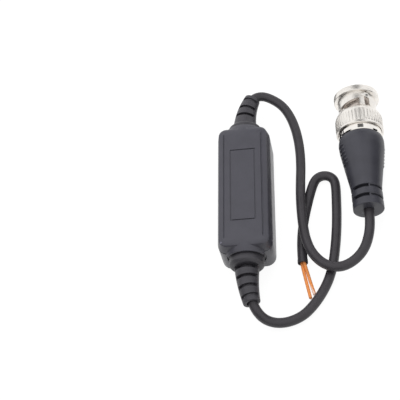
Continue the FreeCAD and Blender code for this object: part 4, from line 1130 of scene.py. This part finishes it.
# Outer contact: its sleeve and seat, and its spring slots
CONTACT_PROFILE = [
    (3.55, 0.9),
    (3.8, 0.9),
    (4.05, 1.25),
    (4.05, 6.8),
    (4.4, 6.8),
    (4.4, 7.6),
    (3.6, 7.6),
    (3.6, 10.6),
    (3.2, 10.6),
    (3.2, 8.2),
    (3.55, 7.8),
]
CONTACT_SLOT = [(0.5, -0.25), (5.2, -0.25), (5.2, 0.25), (0.5, 0.25)]
CONTACT_SLOT_END, CONTACT_ANGLE = 6.2, -15.0

# Boot: its radius by the place, its bore, and a painted highlight on its end face
BOOT_START, BOOT_END = 16.2, 40.6
BOOT_RADIUS = [(16.2, 6.5), (17.6, 6.86), (20.3, 6.72), (33.6, 4.55), (40.6, 4.55)]
BOOT_BORE = [(1.5, BOOT_END, 0.1), (1.47, BOOT_END - 1.7), (0, BOOT_END - 1.7)]
BOOT_STEPS = 60
BOOT_SHEEN_SPOT = [((34.07, -8.5, 5.8), 0.4)]

# Grip ridges on both flanks: angles, the places between which they lie, their number and their pitch
FLANKS, FLANK_RUN = (156.0, 336.0), (19.4, 26.4)
RIDGES, RIDGE_PITCH = 6, 1.25
RIDGE_RADIUS, RIDGE_THICK, RIDGE_SWEEP = 6.6, 0.42, 34.0

# Grooves round the boot's end, and their slots: middle, sweep, radius of the floor and half width
GROOVES = (34.7, 37.8)
GROOVE_SECTION = [(5.4, -0.6), (4.5, -0.6), (4.3, -0.4, 0.1), (4.3, 0.4, 0.1), (4.5, 0.6), (5.4, 0.6)]
GROOVE_SLOTS = [(116.0, 70.0, 3.3, 0.56), (40.0, 70.0, 3.9, 0.36)]


def knurl_ridge():
    """One rounded ridge of the knurl, lying along the nut."""
    rings = []
    for along, proud in KNURL_HEIGHTS:
        heights = [(across, proud * share if share > 0 else KNURL_FOOT) for across, share in KNURL_SHARES]
        rings.append([Vector((KNURL_RADIUS + height, across, along)) for across, height in heights])
    return skinned(rings)


def cam_slot():
    """A cam slot that climbs round the nut from its wide entry to its round end."""
    rows = []
    for step in range(31):
        share = step / 30
        half = CAM_ENTRY_HALF + (CAM_END_HALF - CAM_ENTRY_HALF) * share
        rows.append((math.radians(CAM_SWEEP) * share, CAM_START + CAM_RISE * share, half))
    for step in range(1, 7):
        turn = math.pi / 2 * (1 - step / 6)
        angle = math.radians(CAM_SWEEP) + CAM_END_HALF * math.cos(turn) / CAM_RADIUS
        rows.append((angle, CAM_START + CAM_RISE, CAM_END_HALF * math.sin(turn)))
    rings = [section(angle, CUT_INNER, CUT_OUTER, spot - half, spot + half) for angle, spot, half in rows]
    work = skinned(rings)
    bmesh.ops.remove_doubles(work, verts=work.verts, dist=1e-6)
    return work


def make_nut(settings, plating):
    """The coupling nut with its knurl, bridges, tracks, cam slots and windows."""
    profile = eased(NUT_OUTSIDE) + [Vector(corner) for corner in NUT_INSIDE]
    nut = finished("bayonet_nut", turned(profile, NUT_SEGMENTS, ring=True))
    carved(nut, copies_round(knurl_ridge(), settings.knurl, 360 / settings.knurl), "UNION")
    angles = [math.pi * step / 12 for step in range(13)]
    bridge = turned([(math.sin(angle), -math.cos(angle)) for angle in angles], 28)
    bridge.transform(Matrix.Translation(BRIDGE_PLACE) @ Matrix.Diagonal(BRIDGE_SHAPE))
    carved(nut, copies_round(bridge, 2, 180, TRACK_ANGLE), "UNION")
    track = ring_piece(CUT_INNER, TRACK_OUTER, -0.5, TRACK_DEPTH, TRACK_SWEEP, 24)
    carved(nut, copies_round(track, 2, 180, TRACK_ANGLE))
    carved(nut, copies_round(cam_slot(), 2, 180, CAM_ANGLE))
    window = prism(WINDOW_CORNERS, WINDOW_LOW, WINDOW_HIGH)
    carved(nut, copies_round(window, 2, 180, WINDOW_ANGLE))
    stood(nut, PLUG_PLACE, 30)
    dress(nut, plating, "nickel", "nut", "coupling_nut")


def make_contact():
    """The slotted outer contact inside the nut."""
    contact = finished("contact_sleeve", turned(CONTACT_PROFILE, ring=True))
    slot = prism(CONTACT_SLOT, -1.0, CONTACT_SLOT_END)
    carved(contact, copies_round(slot, 4, 90, CONTACT_ANGLE))
    stood(contact, PLUG_PLACE, 30)
    plate = plated("contact_plate", (0.76, 0.70, 0.66, 1.0), 0.42)
    dress(contact, plate, "nickel", "balun", "outer_contact")


def boot_profile():
    """The boot's section: its round front edge, its taper and its bore's mouth."""
    start = reading(BOOT_RADIUS, BOOT_START)
    profile = [(0, BOOT_START), (start - 0.25, BOOT_START), (start, BOOT_START + 0.12)]
    for step in range(1, BOOT_STEPS):
        place = BOOT_START + (BOOT_END - BOOT_START) * step / BOOT_STEPS
        profile.append((smoothed(BOOT_RADIUS, place, min(1.0, place - BOOT_START)), place))
    return profile + [(BOOT_RADIUS[-1][1], BOOT_END, 0.4)] + BOOT_BORE


def grip_ridge(angle, steps=20, sides=10):
    """One grip ridge: a short arc of round bar, tapered at both ends, about a point of the boot's flank."""
    rings = []
    middle = Vector((math.cos(angle), math.sin(angle), 0)) * RIDGE_RADIUS
    for step in range(steps + 1):
        share = step / steps
        turn = angle + math.radians(RIDGE_SWEEP) * (share - 0.5)
        outward = Vector((math.cos(turn), math.sin(turn), 0))
        wide = RIDGE_THICK * min(1.0, 0.35 + 3.2 * min(share, 1 - share))
        centre = outward * (RIDGE_RADIUS - 0.12) - middle
        ring = []
        for number in range(sides):
            about = math.tau * number / sides
            ring.append(centre + (outward * math.cos(about) + Vector((0, 0, 1)) * math.sin(about)) * wide)
        rings.append(ring)
    return skinned(rings)


def make_boot(settings):
    """The boot with its grip ridges, and its grooves and slots."""
    boot = finished("plug_grip_boot", turned(eased(boot_profile(), 4), 128))
    for degrees in FLANKS:
        angle = math.radians(degrees)
        ends = [(smoothed(BOOT_RADIUS, place, 1.0), place) for place in FLANK_RUN]
        flank = [(radius * math.cos(angle), radius * math.sin(angle), place) for radius, place in ends]
        line = line_through("flank", flank)
        ridges = copies_along(grip_ridge(angle), line, RIDGES, RIDGE_PITCH, 0.0)
        bpy.data.objects.remove(line)
        carved(boot, ridges, "UNION")
    for place in GROOVES:
        groove = [(radius, place + offset, *rest) for radius, offset, *rest in GROOVE_SECTION]
        carved(boot, turned(eased(groove), 128, ring=True))
        for middle, sweep, floor, half in GROOVE_SLOTS:
            slot = ring_piece(floor, 4.5, place - half, place + half, sweep, 24)
            carved(boot, copies_round(slot, 2, 180, middle))
    stood(boot, PLUG_PLACE)
    rubber = moulded("boot_rubber", settings.boot, 0.38, 0.2, 0.010, 0.06, BOOT_SHEEN_SPOT)
    dress(boot, rubber, "boot", "balun", "plug_boot")


class BALUN_OT_plug(bpy.types.Operator):
    """Builds the coupling nut, the contact, the boot and the finish of the plug's other pieces."""

    bl_idname = "balun.plug"
    bl_label = "Plug"

    def execute(self, context):
        settings = context.scene.balun_plug
        make_nut(settings, plated("nickel_plate", settings.plating, 0.34))
        make_contact()
        make_boot(settings)
        coat(plated("polished_nickel", settings.plating, 0.06, 0.05), "plug_body", "crimp_ferrule")
        coat(plated("gold_plate", (0.83, 0.62, 0.28, 1.0), 0.22), "centre_pin")
        coat(plated("spring_bronze", (0.6, 0.55, 0.48, 1.0), 0.3), "retaining_ring", "spring_washer")
        coat(moulded("white_insulator", (0.60, 0.58, 0.55, 1.0), 0.4, 0.3, 0.006, 0.03), "plug_insulator")
        coat(moulded("silicone", (0.09, 0.075, 0.068, 1.0), 0.5, 0.3, 0.006, 0.05), "mouth_gasket")
        coat(moulded("foam", (0.88, 0.88, 0.86, 1.0), 0.6, 0.2, 0.02, 0.03), "coax_dielectric")
        return {"FINISHED"}


class BALUN_OT_inside(bpy.types.Operator):
    """Gives the board, the transformer and the small parts inside the housing their finishes."""

    bl_idname = "balun.inside"
    bl_label = "Inside"

    def execute(self, context):
        coat(moulded("solder_mask", (0.03, 0.17, 0.07, 1.0), 0.3, 0.3, 0.004, 0.12), "circuit_board")
        coat(moulded("ferrite", (0.05, 0.05, 0.055, 1.0), 0.6, 0.1, 0.01, 0.15), "transformer_core")
        copper = plated("enamelled_copper", (0.62, 0.26, 0.12, 1.0), 0.3)
        coat(copper, "primary_winding", "secondary_winding")
        coat(moulded("epoxy", (0.025, 0.025, 0.028, 1.0), 0.5, 0.12, 0.01), "surge_diode", "load_resistor")
        coat(moulded("ceramic", (0.5, 0.37, 0.24, 1.0), 0.45, 0.12, 0.01), "line_capacitor")
        tinned = plated("tinned_copper", (0.72, 0.71, 0.69, 1.0), 0.3)
        coat(tinned, "coax_signal_lead", "coax_braid_lead", "solder_joints")
        coat(insulated("inner_orange", (0.80, 0.28, 0.07, 1.0)), "pair_orange_lead")
        coat(insulated("inner_white", (0.8, 0.76, 0.72, 1.0)), "pair_white_lead")
        return {"FINISHED"}


# Camera: turned from the housing's axis, raised, and rolled about its view; its target is in millimetres
CAMERA_TURN, CAMERA_RISE, CAMERA_ROLL = math.radians(17.225), math.radians(57.494), math.radians(-19.474)
CAMERA_TARGET = (-15.37, 4.13, 0.0)
FOCAL_PIXELS, IMAGE_PIXELS, SENSOR = 1030.258, 400, 36.0

# Key lamp, in metres and watts
LAMP_PLACE, LAMP_TARGET, LAMP_SIZE, LAMP_POWER = (-0.07, 0.21, 0.46), (0.01, 0.0, 0.0), 0.6, 2.1

# Floor: radius in metres, and the strength and share of its own glow
FLOOR_RADIUS, FLOOR_SEGMENTS = 1.6, 64
GLOW_STRENGTH, GLOW_SHARE = 1.16, 0.8

# Dark cards round the balun, which only reflections see: tone and corners in millimetres
CARDS = {
    "card_right": (0.01, [(85, -20, 0), (85, 45, 0), (85, 45, 62), (85, -20, 62)]),
    "card_back": (0.2, [(-20, 190, 120), (120, 190, 120), (90, 120, 300), (20, 120, 300)]),
    "card_near": (0.01, [(-140, -160, 0), (30, -160, 0), (30, -160, 100), (-140, -160, 100)]),
    "card_low": (0.01, [(12, -24, 0.2), (23, -24, 0.2), (23, 50, 0.2), (12, 50, 0.2)]),
    "card_left": (0.01, [(-120, -160, 0), (-120, 0, 0), (-120, 0, 90), (-120, -160, 90)]),
}


def flat_piece(name, corners):
    """One flat face in metres."""
    work = bmesh.new()
    work.faces.new([work.verts.new(corner) for corner in corners])
    return mesh_object(name, work)


def add_card(name, tone, corners):
    card = flat_piece(name, [Vector(corner) * MM for corner in corners])
    dull = Shade(name).finish(Base_Color=(tone, tone, tone, 1.0), Roughness=1.0, Specular_IOR_Level=0.0)
    card.data.materials.append(dull)
    card.visible_camera = False
    card.visible_diffuse = False
    card.visible_shadow = False


def add_lamp():
    light = bpy.data.lights.new("key", "AREA")
    light.shape = "DISK"
    light.size = LAMP_SIZE
    light.energy = LAMP_POWER
    lamp = plain_object("key", light)
    lamp.location = LAMP_PLACE
    lamp.rotation_euler = (Vector(LAMP_TARGET) - Vector(LAMP_PLACE)).to_track_quat("-Z", "Y").to_euler()
    lamp.visible_glossy = False


def add_camera(settings):
    camera = bpy.data.cameras.new("camera")
    camera.lens = FOCAL_PIXELS / IMAGE_PIXELS * SENSOR
    camera.sensor_width = SENSOR
    camera.clip_start = 0.01
    camera.clip_end = 20.0
    stand = plain_object("camera", camera)
    stand.matrix_world = (
        Matrix.Translation(Vector(CAMERA_TARGET) * MM)
        @ Matrix.Rotation(CAMERA_TURN, 4, "Z")
        @ Matrix.Rotation(math.pi / 2 - CAMERA_RISE, 4, "X")
        @ Matrix.Rotation(CAMERA_ROLL, 4, "Z")
        @ Matrix.Translation((0, 0, settings.distance))
    )
    bpy.context.scene.camera = stand


def add_floor(settings):
    """The floor, which keeps the balun's shadow and glows a little where it is seen."""
    angles = [math.tau * number / FLOOR_SEGMENTS for number in range(FLOOR_SEGMENTS)]
    rim = [(FLOOR_RADIUS * math.cos(angle), FLOOR_RADIUS * math.sin(angle), 0) for angle in angles]
    floor = flat_piece("floor", rim)
    shade = Shade("floor_paint")
    paint = shade.surface(Base_Color=settings.floor, Roughness=0.9, Specular_IOR_Level=0.0)
    glow = shade.node("ShaderNodeEmission", values={"Color": WHITE, "Strength": GLOW_STRENGTH})
    lit = shade.node("ShaderNodeMixShader", values={0: shade.seen() * GLOW_SHARE, 1: paint, 2: glow})
    floor.data.materials.append(shade.shown(lit))


def add_world(settings):
    """Even light from all round, and plain white where it is seen."""
    world = bpy.data.worlds.new("room")
    bpy.context.scene.world = world
    world.use_nodes = True
    nodes = Nodes(world.node_tree)
    room = nodes.node("ShaderNodeBackground", values={"Color": WHITE, "Strength": settings.world})
    backdrop = nodes.node("ShaderNodeBackground", values={"Color": WHITE, "Strength": 1.0})
    lit = nodes.node("ShaderNodeMixShader", values={0: nodes.seen(), 1: room, 2: backdrop})
    nodes.node("ShaderNodeOutputWorld", values={"Surface": lit})


class BALUN_OT_stage(bpy.types.Operator):
    """Builds the floor, the soft light and the camera."""

    bl_idname = "balun.stage"
    bl_label = "Stage"

    def execute(self, context):
        settings = context.scene.balun_stage
        add_floor(settings)
        add_world(settings)
        add_lamp()
        for name, (tone, corners) in CARDS.items():
            add_card(name, tone, corners)
        add_camera(settings)
        context.scene.view_settings.view_transform = "Standard"
        return {"FINISHED"}


class BALUN_PT_panel(bpy.types.Panel):
    """Settings and steps of the balun."""

    bl_label = "Balun"
    bl_idname = "BALUN_PT_panel"
    bl_space_type = "VIEW_3D"
    bl_region_type = "UI"
    bl_category = "Balun"

    def draw(self, context):
        layout = self.layout
        for group, kind in GROUPS.items():
            box = layout.box()
            for field in kind.__annotations__:
                box.prop(getattr(context.scene, group), field)
        for step in STEPS:
            layout.operator(step.bl_idname)


GROUPS = {
    "balun_housing": BalunHousingSettings,
    "balun_leads": BalunLeadSettings,
    "balun_plug": BalunPlugSettings,
    "balun_stage": BalunStageSettings,
}
STEPS = [BALUN_OT_stage, BALUN_OT_housing, BALUN_OT_reliefs, BALUN_OT_plug, BALUN_OT_leads, BALUN_OT_inside]


def register():
    for group, kind in GROUPS.items():
        bpy.utils.register_class(kind)
        setattr(bpy.types.Scene, group, bpy.props.PointerProperty(type=kind))
    for kind in STEPS + [BALUN_PT_panel]:
        bpy.utils.register_class(kind)


def unregister():
    for kind in reversed(STEPS + [BALUN_PT_panel]):
        bpy.utils.unregister_class(kind)
    for group, kind in GROUPS.items():
        delattr(bpy.types.Scene, group)
        bpy.utils.unregister_class(kind)


def main():
    register()
    for step in STEPS:
        family, call = step.bl_idname.split(".")
        if getattr(getattr(bpy.ops, family), call)() != {"FINISHED"}:
            raise RuntimeError(f"{step.bl_label} did not finish")


if __name__ == "__main__":
    main()
